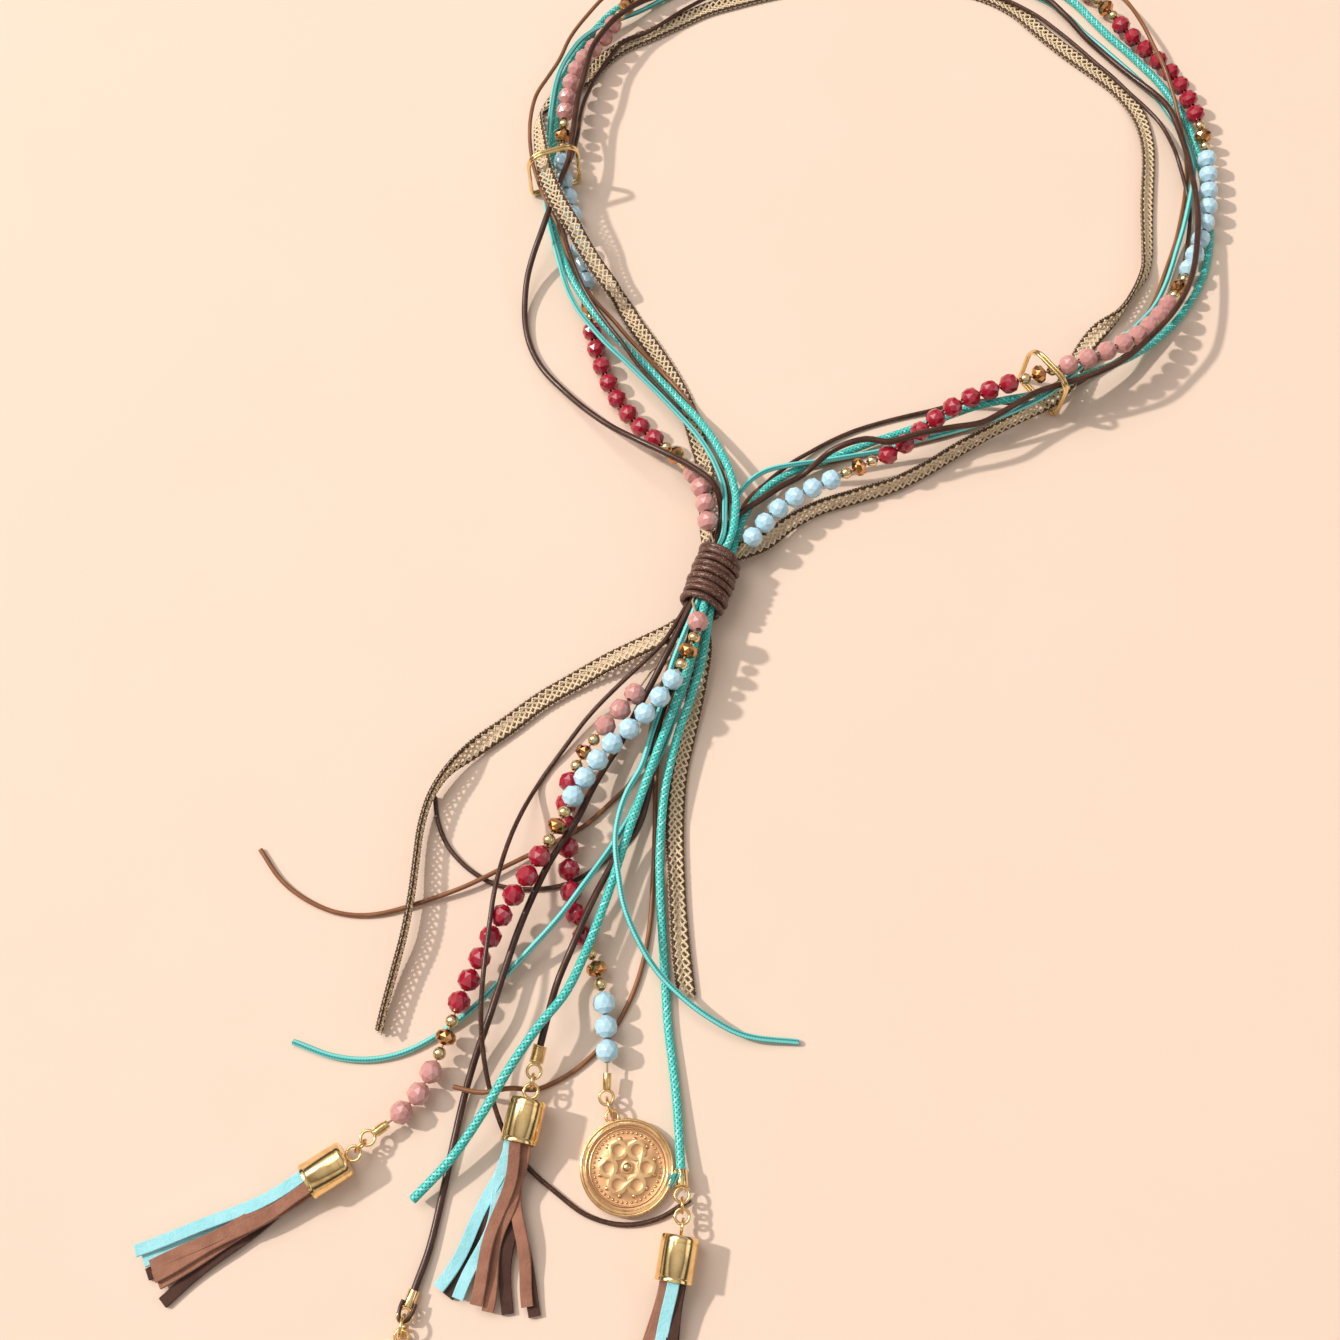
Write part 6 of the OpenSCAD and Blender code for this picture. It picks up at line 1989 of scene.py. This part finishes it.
@dataclass
class EndFittings:
    """Crimps, links and jump rings, with the spring coil, the grooves, the leather loop and the tuft.

    Each end is a place and the heading of the strand that ends there.
    """

    link_nodes: tuple[str, ...] = ("tassel_1_links", "tassel_2_links", "tassel_3_links", "medallion_links",
                                   "disc_links")
    link_bevel: float = 0.08
    coil_end: tuple[Point, Point] = ((-56.2, -140.8, 6.8), (-0.222, -0.964, -0.149))
    coil: tuple[float, float, int] = (1.62, 0.5, 8)
    coil_pitch: float = 1.06
    coil_back: float = 0.95
    groove_end: tuple[Point, Point] = ((-96.4, -158.0, 4.05), (-0.807, -0.589, 0.046))
    groove: tuple[float, float, int] = (1.15, 0.34, 7)
    loop_end: tuple[Point, Point] = ((-86.0, -198.5, 1.9), (-0.310, -0.948, 0.069))
    loop_r: float = 1.7
    loop_reach: float = 3.6
    loop_lap: float = 0.6
    loop_lift: float = 0.9
    loop_arch: float = 0.5
    loop_wire_r: float = 0.5
    tuft_end: tuple[Point, Point] = ((-19.1, -170.6, 4.05), (0.046, -0.989, 0.138))
    tuft_fibres: int = 70
    tuft_spread: float = 2.39996
    tuft_root_r: float = 1.25
    tuft_root_back: tuple[float, float] = (3.6, 0.3)
    fibre_l: tuple[float, float, float] = (2.6, 1.5, 1.2)
    tuft_low: float = 0.4
    fibre_r: tuple[float, float] = (0.17, 0.08)

    def build(self, gold: bpy.types.Material, leather: bpy.types.Material, tuft: bpy.types.Material) -> None:
        """Rounds the links and adds the small work.

        Args:
            gold: Material of the metal.
            leather: Material of the loop.
            tuft: Material of the fibres.
        """
        for node in self.link_nodes:
            refined(node, "gold", gold, self.link_bevel)
        self.build_coil("spring_coil", self.coil_end, *self.coil, gold)
        self.build_coil("grooved_crimp", self.groove_end, *self.groove, gold)
        self.build_loop(leather)
        self.build_tuft(tuft)

    def axes(self, end: tuple[Point, Point]) -> tuple[np.ndarray, np.ndarray, np.ndarray]:
        """Place of an end, its heading and the level direction across it."""
        d = unit(np.array(end[1]))
        return np.array(end[0]), d, unit(np.cross(d, Z_UP))

    def build_coil(self, name: str, end: tuple[Point, Point], radius: float, wire: float, turns: int,
                   gold: bpy.types.Material) -> None:
        """Winds wire round a crimp.

        Args:
            name: The piece's name.
            end: The crimp's end.
            radius: The coil's radius.
            wire: The wire's diameter.
            turns: How many turns.
            gold: Its material.
        """
        p, d, side = self.axes(end)
        up = np.cross(side, d)
        t = np.linspace(0, turns, turns * 20 + 1)
        turn = math.tau * t
        line = (p + d * (t * wire * self.coil_pitch - turns * wire * self.coil_back)[:, None]
                + side * (radius * np.cos(turn))[:, None] + up * (radius * np.sin(turn))[:, None])
        pot = MeshPot(name)
        pot.tube(line, wire / 2, 8)
        dress(pot.pour([gold]), "gold")

    def build_loop(self, leather: bpy.types.Material) -> None:
        """Bends a thin loop of dark leather over the disc's crimp.

        Args:
            leather: Its material.
        """
        p, d, side = self.axes(self.loop_end)
        turn = math.pi * np.linspace(-0.1, 1.1, 26)
        line = (p + d * (self.loop_lap + self.loop_reach * np.sin(turn))[:, None]
                + side * (self.loop_r * np.cos(turn))[:, None])
        line[:, 2] = p[2] + self.loop_lift + self.loop_arch * np.sin(turn)
        pot = MeshPot("leather_loop")
        pot.tube(line, self.loop_wire_r, 8)
        dress(pot.pour([leather]), "dark_leather")

    def build_tuft(self, tuft: bpy.types.Material) -> None:
        """Frays a tuft of short aqua fibres at the braided cord's end.

        Args:
            tuft: Its material.
        """
        p, d, side = self.axes(self.tuft_end)
        pot = MeshPot("frayed_tuft")
        t = np.linspace(0, 1, 6)[:, None]
        back, shift = self.tuft_root_back
        least, uneven, sideways = self.fibre_l
        for k in range(self.tuft_fibres):
            angle = k * self.tuft_spread
            out = side * math.cos(angle) + Z_UP * math.sin(angle)
            root = p - d * (back + shift * math.sin(k * 3.1)) + out * self.tuft_root_r
            reach = least + uneven * math.sin(k * 5.3) + sideways * math.cos(angle)
            line = root + t * reach * (d * 0.85 + out * 0.12) + t ** 2 * (out * 0.7 + side * 1.1)
            pot.tube(rested(line, 0.0, self.tuft_low), np.linspace(*self.fibre_r, 6), 4)
        dress(pot.pour([tuft]), "turquoise_cord")


@dataclass
class Studio:
    """Pale floor, key light from the image's left, soft fill and the camera.

    Places of the camera are in millimetres, and those of the soft lights in metres.
    """

    camera_at: Point = (-22.0, -193.6, 405.0)
    elevation_deg: float = 68.0
    lens: float = 40.73
    sensor: float = 36.0
    floor_half_m: float = 3.0
    key_from: Point = (-0.84, 0.22, 0.74)
    key_power: float = 2.6
    key_spread_deg: float = 2.5
    key_colour: Point = (1.0, 0.955, 0.9)
    soft_lights: tuple = (
        ("soft_top", (-0.7, 0.5, 1.3), 0.9, 9.0), ("soft_right", (1.3, -0.3, 0.9), 0.7, 1.2))
    sky: tuple = ((0.0, 0.9), (0.16, 0.06), (0.34, 0.04), (0.46, 0.75), (0.6, 0.9), (0.7, 0.12), (0.8, 0.5),
                  (1.0, 0.95))
    sky_tint: Point = (1.0, 0.95, 0.9)
    sky_power: float = 0.82

    def aim(self) -> None:
        """Places the camera."""
        camera = linked("camera", bpy.data.cameras.new("camera"))
        camera.data.sensor_width = self.sensor
        camera.data.lens = self.lens
        camera.location = np.array(self.camera_at) * MM
        camera.rotation_euler = (math.radians(90 - self.elevation_deg), 0, 0)
        bpy.context.scene.camera = camera

    def light(self) -> None:
        """Lays the floor and sets the lights."""
        mesh = bpy.data.meshes.new("floor")
        far = self.floor_half_m
        mesh.from_pydata([(-far, -far, 0), (far, -far, 0), (far, far, 0), (-far, far, 0)], [], [(0, 1, 2, 3)])
        mesh.materials.append(FloorFinish().make())
        linked("floor", mesh)
        key = self.lamp("key", "SUN", self.key_from, self.key_power)
        key.data.angle = math.radians(self.key_spread_deg)
        key.data.color = self.key_colour
        for name, spot, size, power in self.soft_lights:
            soft = self.lamp(name, "AREA", spot, power)
            soft.data.size = size
            soft.location = spot
        self.light_sky()
        bpy.context.scene.view_settings.view_transform = "Standard"

    def lamp(self, name: str, kind: str, spot: Point, power: float) -> bpy.types.Object:
        """Makes a light that shines from a spot towards the origin.

        Args:
            name: Its name.
            kind: Its type.
            spot: Where it shines from.
            power: Its strength.

        Returns:
            The light.
        """
        lamp = linked(name, bpy.data.lights.new(name, kind))
        lamp.data.energy = power
        lamp.rotation_euler = Vector(spot).to_track_quat("Z", "Y").to_euler()
        return lamp

    def light_sky(self) -> None:
        """Bands the world from floor to zenith, so that the metal has something to mirror."""
        world = bpy.data.worlds.new("studio")
        bpy.context.scene.world = world
        world.use_nodes = True
        tree = world.node_tree
        parts = tree.nodes.new("ShaderNodeSeparateXYZ")
        tree.links.new(tree.nodes.new("ShaderNodeTexCoord").outputs["Generated"], parts.inputs[0])
        ramp = tree.nodes.new("ShaderNodeValToRGB")
        tree.links.new(parts.outputs["Z"], ramp.inputs[0])
        tree.links.new(ramp.outputs[0], tree.nodes["Background"].inputs["Color"])
        for place, _ in self.sky[2:]:
            ramp.color_ramp.elements.new(place)
        for element, (place, grey) in zip(ramp.color_ramp.elements, self.sky):
            element.position = place
            element.color = (*(grey * tint for tint in self.sky_tint), 1.0)
        tree.nodes["Background"].inputs["Strength"].default_value = self.sky_power


STRIPS_1 = [
    ("dark", -0.1, -0.85, 1, 0.05, 0), ("dark", -0.55, -0.55, 0.99, -0.13, 0),
    ("turquoise", 0.85, -0.2, 0.98, 0.12, 1.2), ("brown", -0.85, -0.05, 0.96, -0.03, 1.2),
    ("brown", 0, 0.3, 0.95, 0.07, 2.4), ("brown", -0.6, 0.5, 0.96, 0.01, 2.4),
    ("turquoise", 0.7, 0.4, 0.99, 0.19, 2.4)]
STRIPS_2 = [
    ("dark", -0.6, -0.5, 0.87, -0.3, 0), ("dark", 0, -0.8, 0.89, -0.15, 0),
    ("dark", 0.45, -0.5, 0.87, 0.2, 0), ("turquoise", 0.9, -0.1, 0.84, 0.26, 1.2),
    ("turquoise", 0.7, 0.3, 0.87, 0.14, 1.2), ("brown", -0.1, 0.1, 0.9, -0.04, 1.2),
    ("brown", 0.2, 0.7, 0.88, 0.03, 2.4), ("brown", -0.8, 0.2, 0.83, -0.25, 1.2)]
STRIPS_3 = [
    ("brown", 0.8, -0.2, 0.95, 0.27, 0), ("dark", -0.7, -0.3, 0.97, -0.03, 0),
    ("dark", 0, -0.75, 0.98, 0.08, 0), ("turquoise", 0.4, 0.2, 0.96, 0.18, 1.2),
    ("turquoise", 0, 0.7, 0.97, 0.12, 1.2), ("dark", -0.6, 0.4, 0.95, 0.03, 1.2),
    ("brown", 0.8, 0.25, 0.92, 0.3, 1.2)]


def main() -> None:
    """Builds the necklace in order."""
    logging.basicConfig(level=logging.INFO, format="%(name)s: %(message)s")
    studio = Studio()
    studio.aim()
    dark = DARK_LEATHER.make()
    Cords([
        Strand("tan_cord", "tan", 1.3, TAN_LEATHER.make(), "tan_leather"),
        Strand("dark_cord_thin", "dark_thin", 1.3, FLECKED_LEATHER.make(), "dark_leather"),
        Strand("dark_cord_thick", "dark_thick", 1.9, dark, "dark_leather", ("fitting", "fitting"),
               ("disc_links", "tassel_2_links")),
        Strand("turquoise_cord_thin", "turquoise_thin", 1.6, AQUA_FLAT.make(), "turquoise_cord"),
        Strand("turquoise_cord_thick", "turquoise_thick", 2.4, AQUA_BRAIDED.make(), "turquoise_cord",
               ("bare", "fitting"), ("", "tassel_3_links")),
    ]).build()
    Braid().build()
    BeadStrings().build()
    Knot().build()
    gold, rose = GOLD.make(), ROSE_GOLD.make()
    StirrupRing("ring_left", ((-65.7, 139.5), (-53.6, 143.9))).build(gold)
    StirrupRing("ring_right", ((87.9, 66.9), (96.1, 55.6))).build(gold)
    suedes = {name: finish.make() for name, finish in SUEDES.items()}
    Tassel(1, (-103.55, -164.51, 4.8), -148.0, Lie.LEVEL, STRIPS_1).build(gold, suedes)
    Tassel(2, (-57.85, -150.40, 6.8), -102.0, Lie.LEVEL, STRIPS_2, 0.8).build(gold, suedes)
    Tassel(3, (-19.32, -182.83, 4.8), -99.6, Lie.UPRIGHT, STRIPS_3).build(gold, suedes)
    Pendants().build(gold, rose)
    EndFittings().build(gold, dark, AQUA_FRAY.make())
    studio.light()


if __name__ == "__main__":
    main()
